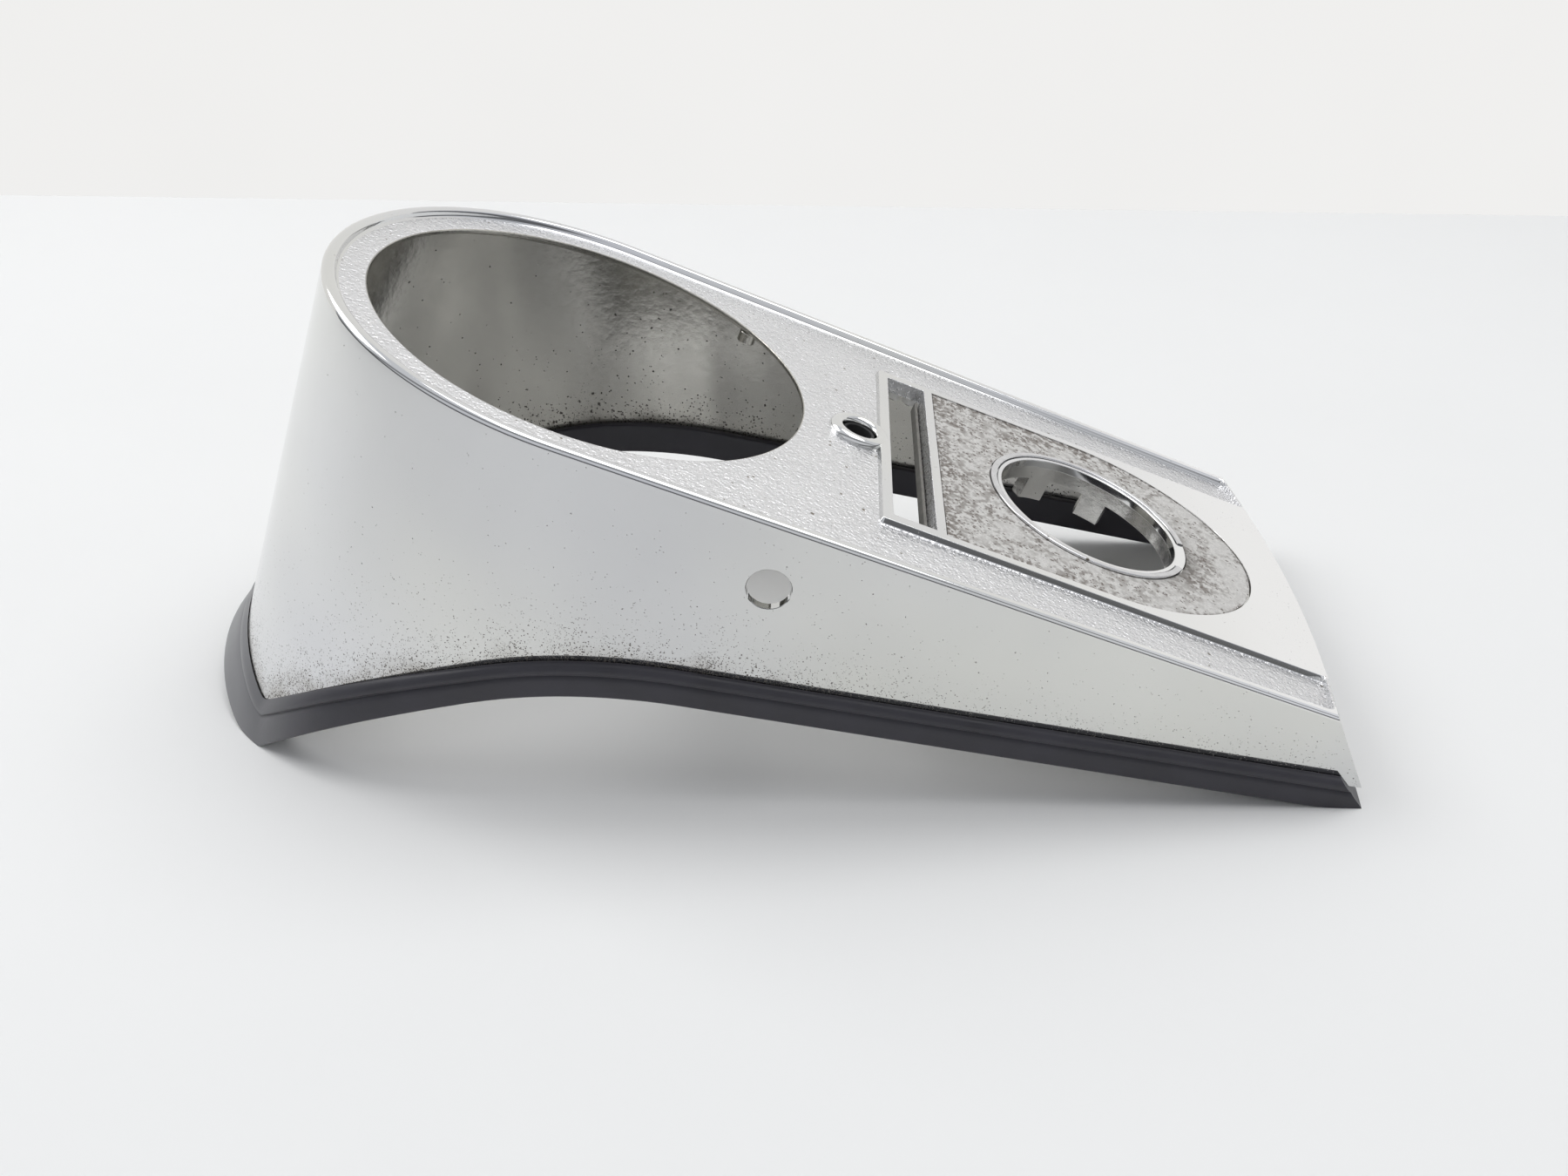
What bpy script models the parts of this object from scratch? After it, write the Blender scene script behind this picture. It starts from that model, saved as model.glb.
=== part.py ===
"""Motorcycle tank dash console: a plated casting on a rubber edge gasket.

The deck frame has its origin at the centre of the instrument opening, on the sunken field:
u runs to the rear along the deck, v to the right side and w out of the deck. The deck is
tilted, so it falls to the rear. The lower edge is drawn in the level frame, whose z is up.
"""

import math

import bmesh
import bpy
from mathutils import Matrix, Vector

# Deck plan, from the instrument opening to the tail
DECK_TILT = math.radians(20.9)
OPENING_RADIUS = 0.0585
RIM_WIDTH = 0.011
EYELET_LAND = 0.0075
EYELET_RADIUS = 0.0085
EYELET_OVERLAP = 0.0026
SLOT_FRAME = 0.0029
SLOT_WIDTH = 0.0115
SLOT_HALF_LENGTH = 0.0423
SLOT_BAR = 0.0027
INLAY_LEAD = 0.0157
INLAY_SIDE = 0.0134
INLAY_TAIL = 0.0201
ISLAND_BORDER = 0.0027
FIELD_BAND = 0.0188
TAIL_LAND = 0.0138
TAIL_BULGE = 0.006
TAIL_LEAN = math.radians(45.8)
TAIL_BORDER = 0.002

# Deck section
WALL = 0.0025
DECK_THICKNESS = 0.0025
BEAD_WIDTH = 0.0035
BEAD_HEIGHT = 0.002
SHOULDER_RADIUS = 0.0016
ISLAND_HEIGHT = 0.0016

# Lower edge of the casting, as drops below the centre of the opening
CREST_DROP = 0.0584
CREST_ROUND = 0.028
FLANK_FALL = math.radians(10.3)
CORNER_DROP = 0.0902
CORNER_ANGLE = math.radians(137)
NOSE_DROP = 0.0765

# Stud eyelet and its rubber bush
EYELET_HEIGHT = 0.0021
EYELET_CROWN = 0.0015
EYELET_DEPTH = 0.005
EYELET_BORE = 0.0048
BUSH_BORE = 0.0037
BUSH_FLANGE_GAP = 0.0005
BUSH_FLANGE_THICKNESS = 0.0015

# Lamp slot: the well's two rails, open at the ends, the seal on the rear rail, pins and sleeves
WELL_WALL = 0.002
WELL_DEPTH = 0.0055
WELL_END_GAP = 0.0015
SEAL_WIDTH = 0.0009
SEAL_HEIGHT = 0.003
PIN_RADIUS = 0.0012
PIN_LENGTH = 0.0048
PIN_PITCH = 0.0052
PIN_SHIFT = 0.002
PIN_REACH = 0.0077
SLEEVE_WALL = 0.0008
SLEEVE_LENGTH = 0.0038

# Switch hole: cast lip, key, open trim ring, inlay, collar and posts
SWITCH_BORE = 0.0263
LIP_WIDTH = 0.0012
RING_WIDTH = 0.0018
RING_HEIGHT = 0.0012
KEY_ANGLE = math.radians(-13.5)
KEY_HALF_SPAN = math.radians(15)
INLAY_THICKNESS = 0.0005
INLAY_SET_DOWN = 0.0003
COLLAR_WALL = 0.003
COLLAR_DEPTH = 0.0048
POST_WALL = 0.0042
POST_DEPTH = 0.0116
POST_SPREAD = math.radians(20)
POST_HALF_SPAN = math.radians(8)

# Instrument bosses under the rim
BOSS_RADIUS = 0.0026
BOSS_BORE = 0.0013
BOSS_DEPTH = 0.0056
BOSS_INSET = 0.0037
BOSS_ANGLE = math.radians(49.5)

# Round hole in the left flank
FLANK_HOLE_SETBACK = 0.0583
FLANK_HOLE_DROP = 0.0151
FLANK_HOLE_RADIUS = 0.0054

# Edge gasket
GASKET_LIP = 0.003
GASKET_SKIRT = 0.0064
GASKET_NOSE_SKIRT = 0.0097
GASKET_OUTER = 0.003
GASKET_INNER = 0.003
GASKET_PINCH = 0.0021
GASKET_WAIST = 0.0012
GASKET_FLARE = 0.0018
GASKET_FOOT = 0.0004
GASKET_SOLE = 0.003
GASKET_SETBACK = 0.0044
GASKET_END_SKEW = math.radians(13)

# Gap between pieces that touch
FIT = 0.0003

# Steps of the round forms
NOSE_STEPS = 44
HOLE_STEPS = 40
OPENING_STEPS = 64
SMALL_STEPS = 20
EDGE_STEPS = 12

# Places along the deck that follow from the sizes above
NOSE_RADIUS = OPENING_RADIUS + RIM_WIDTH
EYELET_U = OPENING_RADIUS + EYELET_LAND + EYELET_RADIUS
ISLAND_U = EYELET_U + EYELET_RADIUS - EYELET_OVERLAP
SLOT_U = ISLAND_U + SLOT_FRAME
SLOT_REAR_U = SLOT_U + SLOT_WIDTH
RAIL_HALF_LENGTH = SLOT_HALF_LENGTH - WELL_END_GAP
INLAY_U = SLOT_REAR_U + SLOT_BAR
LIP_RADIUS = SWITCH_BORE + LIP_WIDTH
RING_RADIUS = LIP_RADIUS + FIT + RING_WIDTH
SWITCH_U = INLAY_U + INLAY_LEAD + RING_RADIUS
INLAY_REACH = RING_RADIUS + INLAY_TAIL
INLAY_HALF_WIDTH = RING_RADIUS + INLAY_SIDE
ISLAND_HALF_WIDTH = max(INLAY_HALF_WIDTH, SLOT_HALF_LENGTH) + ISLAND_BORDER
TAIL_U = SWITCH_U + INLAY_REACH + TAIL_LAND
TAIL_HALF_WIDTH = ISLAND_HALF_WIDTH + FIELD_BAND
CORNER_U = TAIL_U - TAIL_BULGE
RECESS_W = ISLAND_HEIGHT - INLAY_SET_DOWN - INLAY_THICKNESS - FIT
TAPER = math.atan2(CORNER_U, TAIL_HALF_WIDTH) - math.acos(
    NOSE_RADIUS / math.hypot(CORNER_U, TAIL_HALF_WIDTH)
)
COS_TILT = math.cos(DECK_TILT)
SIN_TILT = math.sin(DECK_TILT)


def deck_w(u, z):
    """Deck height w of the point at u whose level height is z."""
    return (z + u * SIN_TILT) / COS_TILT


def level_x(u, z):
    """Level x of the point at u whose level height is z."""
    return u * COS_TILT + deck_w(u, z) * SIN_TILT


CORNER_X = level_x(NOSE_RADIUS * math.cos(CORNER_ANGLE), -CORNER_DROP)
CORNER_Y = NOSE_RADIUS * math.sin(CORNER_ANGLE)
NOSE_X = level_x(-NOSE_RADIUS, -CORNER_DROP)
BLOCK_DEPTH = WALL - deck_w(-NOSE_RADIUS, -CORNER_DROP)
TAIL_RUN = TAIL_U + BLOCK_DEPTH


def arc(radius, start, end, steps, centre=(0.0, 0.0), squash=1.0):
    """Points of an arc about centre; squash scales it along v."""
    turns = [start + (end - start) * i / steps for i in range(steps + 1)]
    return [
        (centre[0] + radius * math.cos(a), centre[1] + squash * radius * math.sin(a))
        for a in turns
    ]


def circle(radius, steps, centre=(0.0, 0.0)):
    """A closed ring of points."""
    return arc(radius, 0.0, math.tau, steps, centre)[:-1]


def box(low_u, high_u, low_v, high_v):
    """A rectangle in the deck plan."""
    return [(low_u, low_v), (high_u, low_v), (high_u, high_v), (low_u, high_v)]


def side_v(u, offset=0.0):
    """Half width of the deck plan at u, on the tapered sides."""
    return (NOSE_RADIUS + offset - u * math.sin(TAPER)) / math.cos(TAPER)


def nose_arc(offset=0.0, flare=0.0):
    """The round nose from the left side to the right, pushed out (or in) at the front by flare."""
    half = math.pi / 2 - TAPER
    points = []
    for cos_a, sin_a in arc(1.0, -half, half - math.tau, NOSE_STEPS):
        radius = NOSE_RADIUS + offset + flare * max(0.0, -cos_a)
        points.append((radius * cos_a, radius * sin_a))
    return points


def deck_plan(offset=0.0, flare=0.0):
    """The deck outline, run on past the tail."""
    half = side_v(TAIL_RUN, offset)
    return [(TAIL_RUN, -half)] + nose_arc(offset, flare) + [(TAIL_RUN, half)]


def tail_u(v):
    """Rear edge of the deck, bowed to the rear in the middle."""
    return TAIL_U - TAIL_BULGE * (v / TAIL_HALF_WIDTH) ** 2


def flank_height(x):
    """Lower edge of the flank in the level frame: a crest, falling to both ends."""
    slope = math.tan(FLANK_FALL)
    if x < 0.0:
        return -CREST_DROP - (CORNER_DROP - CREST_DROP) * (x / CORNER_X) ** 2
    if x < CREST_ROUND:
        return -CREST_DROP - slope * x * x / (2 * CREST_ROUND)
    return -CREST_DROP - slope * (x - CREST_ROUND / 2)


def clear_scene():
    for obj in list(bpy.data.objects):
        bpy.data.objects.remove(obj, do_unlink=True)


def new_collection(name):
    made = bpy.data.collections.new(name)
    bpy.context.scene.collection.children.link(made)
    return made


def new_empty(name, parent, matrix):
    empty = bpy.data.objects.new(name, None)
    empty.empty_display_size = 0.02
    bpy.data.collections["cutters"].objects.link(empty)
    empty.parent = parent
    empty.matrix_basis = matrix
    return empty


def new_object(name, mesh, parent, place):
    """A helper solid; finish_part makes it a piece of the console."""
    obj = bpy.data.objects.new(name, mesh)
    obj.parent = parent
    obj.matrix_basis = place
    obj.hide_render = True
    obj.display_type = "WIRE"
    bpy.data.collections["cutters"].objects.link(obj)
    return obj


def tidy_mesh(mesh):
    """Welds the loose caps and turns every face outwards."""
    shape = bmesh.new()
    shape.from_mesh(mesh)
    bmesh.ops.remove_doubles(shape, verts=shape.verts, dist=1e-6)
    bmesh.ops.recalc_face_normals(shape, faces=shape.faces)
    shape.to_mesh(mesh)
    shape.free()


def flat_solid(name, loops, low, high, parent, place=None):
    """Outlines filled and extruded from low to high along the local z."""
    curve = bpy.data.curves.new(name, "CURVE")
    curve.dimensions = "2D"
    curve.fill_mode = "BOTH"
    curve.extrude = (high - low) / 2
    for loop in loops:
        spline = curve.splines.new("POLY")
        spline.points.add(len(loop) - 1)
        for point, (x, y) in zip(spline.points, loop):
            point.co = (x, y, 0.0, 1.0)
        spline.use_cyclic_u = True
    guide = bpy.data.objects.new(name, curve)
    bpy.data.collections["cutters"].objects.link(guide)
    graph = bpy.context.evaluated_depsgraph_get()
    mesh = bpy.data.meshes.new_from_object(guide.evaluated_get(graph))
    bpy.data.objects.remove(guide)
    bpy.data.curves.remove(curve)
    tidy_mesh(mesh)
    mid = Matrix.Translation((0.0, 0.0, (low + high) / 2))
    return new_object(name, mesh, parent, (place or Matrix()) @ mid)


def turned(name, profile, steps, parent, place=None):
    """A profile of (radius, height) points, top to bottom, spun about the local z."""
    mesh = bpy.data.meshes.new(name)
    closed = profile[0][0] > 0.0
    links = [(i, i + 1) for i in range(len(profile) - 1)]
    if closed:
        links.append((len(profile) - 1, 0))
    mesh.from_pydata([(r, 0.0, z) for r, z in profile], links, [])
    obj = new_object(name, mesh, parent, place or Matrix())
    screw = obj.modifiers.new("spin", "SCREW")
    screw.steps = steps
    screw.render_steps = steps
    screw.use_merge_vertices = True
    screw.merge_threshold = 1e-5
    return obj


def rod(name, radius, low, high, parent, place=None, steps=SMALL_STEPS):
    """A plain cylinder along the local z."""
    return turned(name, [(0.0, high), (radius, high), (radius, low), (0.0, low)], steps, parent, place)


def stacked_solid(name, sections, parent):
    """A loft through outlines of equal count, each given with its height, top first."""
    shape = bmesh.new()
    rings = []
    for loop, w in sections:
        rings.append([shape.verts.new((u, v, w)) for u, v in loop])
    for upper, lower in zip(rings, rings[1:]):
        for i in range(len(upper)):
            j = (i + 1) % len(upper)
            shape.faces.new((upper[i], upper[j], lower[j], lower[i]))
    shape.faces.new(rings[0])
    shape.faces.new(rings[-1])
    bmesh.ops.recalc_face_normals(shape, faces=shape.faces)
    mesh = bpy.data.meshes.new(name)
    shape.to_mesh(mesh)
    shape.free()
    return new_object(name, mesh, parent, Matrix())


def boolean(target, tool, operation):
    modifier = target.modifiers.new(tool.name, "BOOLEAN")
    modifier.operation = operation
    modifier.solver = "EXACT"
    modifier.object = tool


def cut(target, *tools):
    for tool in tools:
        boolean(target, tool, "DIFFERENCE")


def join(target, *tools):
    for tool in tools:
        boolean(target, tool, "UNION")


def finish_part(obj, colour, roughness, metallic):
    """Moves a solid to the console's collection, with a material of its own."""
    bpy.data.collections["cutters"].objects.unlink(obj)
    bpy.data.collections["dash_console"].objects.link(obj)
    obj.hide_render = False
    obj.display_type = "TEXTURED"
    surface = bpy.data.materials.new(obj.name)
    surface.use_nodes = True
    shader = surface.node_tree.nodes["Principled BSDF"]
    shader.inputs["Base Color"].default_value = (*colour, 1.0)
    shader.inputs["Roughness"].default_value = roughness
    shader.inputs["Metallic"].default_value = metallic
    obj.data.materials.append(surface)
    return obj


def saddle(name, root, rise, nose_rise, floor):
    """What lies under the lower edge: the flank arch run across, joined to the nose arch.

    rise and nose_rise shift the edge up; floor is the lowest level of the edge.
    """
    depth = 3 * CORNER_DROP - 4 * rise
    front = NOSE_X - 4 * GASKET_SKIRT + rise
    rear = level_x(TAIL_RUN, 0.0)
    stations = [CORNER_X * (1 - i / EDGE_STEPS) for i in range(EDGE_STEPS + 1)]
    stations += [CREST_ROUND * (i + 1) / EDGE_STEPS for i in range(EDGE_STEPS)]
    edge = [(x, flank_height(x) + rise) for x in stations]
    end = flank_height(rear) + rise
    if end < floor:
        last_x, last_z = edge[-1]
        meet = last_x + (last_z - floor) / math.tan(FLANK_FALL)
        edge += [(meet, floor), (rear, floor)]
    else:
        edge += [(rear, end)]
    corner = max(floor, rise - CORNER_DROP)
    edge = [(x, max(z, corner) if x < 0 else z) for x, z in edge]
    outline = [(front, corner)] + edge + [(rear, -depth), (front, -depth)]
    across = Matrix.Rotation(math.pi / 2, 4, "X")
    half = TAIL_HALF_WIDTH + NOSE_RADIUS
    solid = flat_solid(name, [outline], -half, half, root, across)
    high = nose_rise - NOSE_DROP
    arch = []
    for i in range(-EDGE_STEPS - 1, EDGE_STEPS + 2):
        t = i / EDGE_STEPS
        arch.append((CORNER_Y * t, high - (high - corner) * t * t))
    arch += [(arch[-1][0], -2 * depth), (arch[0][0], -2 * depth)]
    along = Matrix(((0, 0, 1, 0), (1, 0, 0, 0), (0, 1, 0, 0), (0, 0, 0, 1)))
    nose = flat_solid(name + "_nose", [arch], 2 * front, 0.0, root, along)
    join(solid, nose)
    return solid


def tail_foot():
    """Deck u and w of the lower rear corner, where the tail edge meets the flank edge."""
    run = math.tan(TAIL_LEAN)
    slope = math.tan(FLANK_FALL)
    start = CORNER_U + BEAD_HEIGHT * run
    fall = start * (SIN_TILT - slope * COS_TILT) - CREST_DROP + slope * CREST_ROUND / 2
    w = fall / (run * SIN_TILT + COS_TILT - slope * (run * COS_TILT - SIN_TILT))
    return start - w * run, w


def tail_cutter(name, deck, mid_u, w, lean):
    """All behind a bowed edge that leans to the rear as it falls, through mid_u at height w."""
    reach = 2 * TAIL_HALF_WIDTH
    stations = [reach * (i / EDGE_STEPS - 1) for i in range(2 * EDGE_STEPS + 1)]
    edge = [((tail_u(v) - TAIL_U) * math.cos(lean), v) for v in stations]
    outline = edge + [(TAIL_RUN, reach), (TAIL_RUN, -reach)]
    place = Matrix.Translation((mid_u, 0.0, w)) @ Matrix.Rotation(-lean, 4, "Y")
    return flat_solid(name, [outline], -TAIL_RUN, TAIL_RUN, deck, place)


def sector(inner, outer, start, end, steps, centre):
    """A closed piece of a ring between two turns."""
    return arc(outer, start, end, steps, centre) + arc(inner, end, start, steps, centre)


def inlay_plan(gap):
    """The inlay's outline: square at the front, a half ellipse at the rear."""
    half = INLAY_HALF_WIDTH - gap
    reach = INLAY_REACH - gap
    rear = arc(reach, math.pi / 2, -math.pi / 2, HOLE_STEPS // 2, (SWITCH_U, 0.0), half / reach)
    return [(INLAY_U + gap, -half), (INLAY_U + gap, half)] + rear


def pin_places():
    """Where the lamp pins stand, past both ends of the slot."""
    mid = (SLOT_U + SLOT_REAR_U) / 2 + PIN_SHIFT
    reach = SLOT_HALF_LENGTH + PIN_REACH
    return [
        (mid + end * PIN_PITCH / 2, side * reach) for side in (1, -1) for end in (-1, 1)
    ]


def boss_places():
    """Where the two instrument bosses stand under the rim."""
    radius = OPENING_RADIUS + BOSS_INSET
    return [
        (radius * math.cos(BOSS_ANGLE), side * radius * math.sin(BOSS_ANGLE))
        for side in (1, -1)
    ]


def at(place, w=0.0):
    return Matrix.Translation((place[0], place[1], w))


def make_shell(deck, root, hole_axis):
    """The casting: a tub open below and at the tail, with its deck relief, holes and bosses."""
    under = -DECK_THICKNESS
    root_w = under / 2
    shell = flat_solid("console_shell", [deck_plan()], -BLOCK_DEPTH, BEAD_HEIGHT, deck)
    weld = shell.modifiers.new("weld", "WELD")
    weld.merge_threshold = 1e-5
    shoulder = shell.modifiers.new("shoulder", "BEVEL")
    shoulder.width = min(SHOULDER_RADIUS, 0.9 * BEAD_HEIGHT, 0.6 * BEAD_WIDTH)
    shoulder.segments = 3
    shoulder.limit_method = "ANGLE"
    shoulder.angle_limit = math.radians(50)

    cavity = [
        (TAIL_RUN + WALL, -side_v(TAIL_RUN, -WALL)),
        *nose_arc(-WALL),
        (TAIL_RUN + WALL, side_v(TAIL_RUN, -WALL)),
    ]
    cut(shell, flat_solid("cavity", [cavity], -BLOCK_DEPTH - WALL, under, deck))

    side = side_v(CORNER_U, -BEAD_WIDTH)
    band_end = tail_u(side) - TAIL_BORDER
    island_end = tail_u(ISLAND_HALF_WIDTH) - TAIL_BORDER
    field = [
        (band_end, -side),
        *nose_arc(-BEAD_WIDTH),
        (band_end, side),
        (island_end, ISLAND_HALF_WIDTH),
        (ISLAND_U, ISLAND_HALF_WIDTH),
        (ISLAND_U, -ISLAND_HALF_WIDTH),
        (island_end, -ISLAND_HALF_WIDTH),
    ]
    cut(shell, flat_solid("field", [field], 0.0, 2 * BEAD_HEIGHT, deck))
    level = box(ISLAND_U, TAIL_RUN, -ISLAND_HALF_WIDTH, ISLAND_HALF_WIDTH)
    cut(shell, flat_solid("island_top", [level], ISLAND_HEIGHT, 2 * BEAD_HEIGHT, deck))

    eyelet = [
        (0.0, EYELET_HEIGHT),
        (EYELET_RADIUS - EYELET_CROWN, EYELET_HEIGHT),
        (EYELET_RADIUS, EYELET_HEIGHT - EYELET_CROWN),
        (EYELET_RADIUS, -EYELET_DEPTH),
        (0.0, -EYELET_DEPTH),
    ]
    join(shell, turned("eyelet", eyelet, HOLE_STEPS, deck, at((EYELET_U, 0.0))))

    well = box(
        SLOT_U - WELL_WALL, SLOT_REAR_U + WELL_WALL, -RAIL_HALF_LENGTH, RAIL_HALF_LENGTH
    )
    join(shell, flat_solid("well", [well], -WELL_DEPTH, root_w, deck))

    centre = (SWITCH_U, 0.0)
    collar = circle(SWITCH_BORE + COLLAR_WALL, HOLE_STEPS, centre)
    join(shell, flat_solid("collar", [collar], -COLLAR_DEPTH, root_w, deck))
    for quarter in (-1, 1):
        for lean in (-1, 1):
            mid = quarter * math.pi / 2 + lean * POST_SPREAD
            span = sector(
                SWITCH_BORE - LIP_WIDTH,
                SWITCH_BORE + POST_WALL,
                mid - POST_HALF_SPAN,
                mid + POST_HALF_SPAN,
                4,
                centre,
            )
            name = "post_{}{}".format("lr"[quarter > 0], "fb"[lean * quarter < 0])
            join(shell, flat_solid(name, [span], -POST_DEPTH, root_w, deck))
    for i, place in enumerate(boss_places()):
        join(shell, rod(f"boss_{i}", BOSS_RADIUS, -BOSS_DEPTH, root_w, deck, at(place)))
    for i, place in enumerate(pin_places()):
        low = under - PIN_LENGTH
        join(shell, rod(f"pin_{i}", PIN_RADIUS, low, root_w, deck, at(place), 12))

    over = BEAD_HEIGHT + EYELET_HEIGHT
    opening = circle(OPENING_RADIUS, OPENING_STEPS)
    cut(shell, flat_solid("opening", [opening], 2 * under, over, deck))
    slot = box(SLOT_U, SLOT_REAR_U, -SLOT_HALF_LENGTH, SLOT_HALF_LENGTH)
    cut(shell, flat_solid("slot", [slot], -2 * WELL_DEPTH, over, deck))
    bore = circle(SWITCH_BORE, HOLE_STEPS, centre)
    cut(shell, flat_solid("switch_bore", [bore], -2 * POST_DEPTH, over, deck))
    turn = math.pi / HOLE_STEPS
    stud = arc(EYELET_BORE, turn, turn + math.tau, SMALL_STEPS, (EYELET_U, 0.0))[:-1]
    cut(shell, flat_solid("stud_bore", [stud], -2 * EYELET_DEPTH, 2 * over, deck))
    for i, place in enumerate(boss_places()):
        hole = rod(f"boss_bore_{i}", BOSS_BORE, -2 * BOSS_DEPTH, root_w, deck, at(place), 12)
        cut(shell, hole)
    key = arc(
        RING_RADIUS,
        KEY_ANGLE - KEY_HALF_SPAN,
        KEY_ANGLE + KEY_HALF_SPAN,
        EDGE_STEPS,
        centre,
    )
    lip = arc(
        LIP_RADIUS,
        KEY_ANGLE + KEY_HALF_SPAN,
        KEY_ANGLE - KEY_HALF_SPAN + math.tau,
        HOLE_STEPS,
        centre,
    )
    recess = flat_solid("recess", [inlay_plan(0.0), key + lip], RECESS_W, over, deck)
    cut(shell, recess)
    cut(shell, rod("flank_hole", FLANK_HOLE_RADIUS, -3 * WALL, 3 * WALL, hole_axis))
    cut(shell, tail_cutter("tail_edge", deck, TAIL_U, BEAD_HEIGHT, TAIL_LEAN))
    cut(shell, saddle("lower_edge", root, 0.0, 0.0, -2 * CORNER_DROP))
    return finish_part(shell, (0.62, 0.63, 0.64), 0.12, 1.0)


def make_gasket(deck, root):
    """The rubber channel on the lower edge, flared at the nose and cut flat where it stands."""
    flare_top = deck_w(-NOSE_RADIUS, GASKET_LIP - NOSE_DROP)
    flare_low = deck_w(-NOSE_RADIUS, -NOSE_DROP - GASKET_NOSE_SKIRT)
    low = flare_low - 2 * GASKET_SKIRT
    plain = deck_plan(GASKET_OUTER, -GASKET_PINCH)
    flared = deck_plan(GASKET_OUTER, GASKET_FLARE)
    waist = deck_plan(GASKET_OUTER, -GASKET_WAIST)
    waist_w = (flare_top + flare_low) / 2
    sections = [
        (plain, 0.0),
        (plain, flare_top),
        (waist, waist_w),
        (flared, flare_low),
        (flared, low),
    ]
    gasket = stacked_solid("edge_gasket", sections, deck)
    inner = [
        (TAIL_RUN + WALL, -side_v(TAIL_RUN, -WALL - GASKET_INNER)),
        *nose_arc(-WALL - GASKET_INNER),
        (TAIL_RUN + WALL, side_v(TAIL_RUN, -WALL - GASKET_INNER)),
    ]
    cut(gasket, flat_solid("gasket_inside", [inner], low - WALL, WALL, deck))
    above = saddle("gasket_top", root, GASKET_LIP, GASKET_LIP, -2 * CORNER_DROP)
    boolean(gasket, above, "INTERSECT")
    foot_u, foot_w = tail_foot()
    tail_drop = foot_u * SIN_TILT - foot_w * COS_TILT
    foot = -max(CORNER_DROP + GASKET_SKIRT - GASKET_FOOT, tail_drop + GASKET_SOLE)
    cut(gasket, saddle("gasket_bottom", root, -GASKET_SKIRT, -GASKET_NOSE_SKIRT, foot))
    channel = deck_plan(FIT) + deck_plan(-WALL - FIT)[::-1]
    groove = flat_solid("groove", [channel], low - 2 * WALL, 2 * WALL, deck)
    cut(groove, saddle("groove_floor", root, -FIT, -FIT, -2 * CORNER_DROP))
    cut(gasket, groove)
    mid_u = foot_u + TAIL_BULGE - GASKET_SETBACK
    cut(gasket, tail_cutter("gasket_end", deck, mid_u, foot_w, TAIL_LEAN + GASKET_END_SKEW))
    return finish_part(gasket, (0.02, 0.02, 0.025), 0.5, 0.0)


def make_switch_trim(deck):
    """The inlay in its recess, and the open ring round the cast lip."""
    centre = (SWITCH_U, 0.0)
    floor = RECESS_W + FIT
    hole = circle(RING_RADIUS + FIT, HOLE_STEPS, centre)
    inlay = flat_solid("switch_inlay", [inlay_plan(FIT), hole], floor, floor + INLAY_THICKNESS, deck)
    finish_part(inlay, (0.55, 0.54, 0.52), 0.6, 0.3)
    gap = KEY_HALF_SPAN + FIT / LIP_RADIUS
    ring = sector(
        LIP_RADIUS + FIT,
        RING_RADIUS,
        KEY_ANGLE + gap,
        KEY_ANGLE - gap + math.tau,
        HOLE_STEPS,
        centre,
    )
    trim = flat_solid("switch_trim_ring", [ring], floor, floor + RING_HEIGHT, deck)
    finish_part(trim, (0.7, 0.7, 0.71), 0.15, 1.0)


def make_stud_bush(deck):
    """A rubber bush in the eyelet, with its flange under the boss."""
    outer = EYELET_BORE - FIT
    flange = SLOT_U - WELL_WALL - BUSH_FLANGE_GAP - EYELET_U
    top = EYELET_HEIGHT - EYELET_CROWN
    seat = -EYELET_DEPTH - FIT
    low = seat - BUSH_FLANGE_THICKNESS
    profile = [
        (outer, top),
        (outer, seat),
        (flange, seat),
        (flange, low),
        (BUSH_BORE, low),
        (BUSH_BORE, top),
    ]
    bush = turned("stud_bush", profile, SMALL_STEPS, deck, at((EYELET_U, 0.0)))
    finish_part(bush, (0.02, 0.02, 0.02), 0.7, 0.0)


def make_lamp_fittings(deck):
    """The seal along the well's rear rail, and the sleeves on the cast pins."""
    rear = SLOT_REAR_U - FIT
    strip = box(rear - SEAL_WIDTH, rear, -RAIL_HALF_LENGTH, RAIL_HALF_LENGTH)
    seal = flat_solid("lamp_well_seal", [strip], -WELL_DEPTH, SEAL_HEIGHT - WELL_DEPTH, deck)
    finish_part(seal, (0.09, 0.09, 0.085), 0.85, 0.0)
    bore = PIN_RADIUS + FIT
    outer = bore + SLEEVE_WALL
    top = -DECK_THICKNESS - FIT
    low = top - SLEEVE_LENGTH
    tube = [(outer, top), (outer, low), (bore, low), (bore, top)]
    names = ("right_front", "right_rear", "left_front", "left_rear")
    for name, place in zip(names, pin_places()):
        sleeve = turned("lamp_sleeve_" + name, tube, 16, deck, at(place))
        finish_part(sleeve, (0.75, 0.73, 0.66), 0.55, 0.0)


def seat_on_ground(root):
    """Moves the console so that the middle of its footprint is the origin."""
    bpy.context.view_layer.update()
    graph = bpy.context.evaluated_depsgraph_get()
    corners = []
    for obj in bpy.data.collections["dash_console"].objects:
        solid = obj.evaluated_get(graph)
        mesh = solid.to_mesh()
        corners += [solid.matrix_world @ vert.co for vert in mesh.vertices]
        solid.to_mesh_clear()
    low = Vector([min(c[i] for c in corners) for i in range(3)])
    high = Vector([max(c[i] for c in corners) for i in range(3)])
    root.location = (-(low.x + high.x) / 2, -(low.y + high.y) / 2, -low.z)
    bpy.context.view_layer.update()


def shade_parts():
    for obj in bpy.data.collections["dash_console"].objects:
        obj.data.shade_smooth()
        obj.data.set_sharp_from_angle(angle=math.radians(30))


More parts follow.
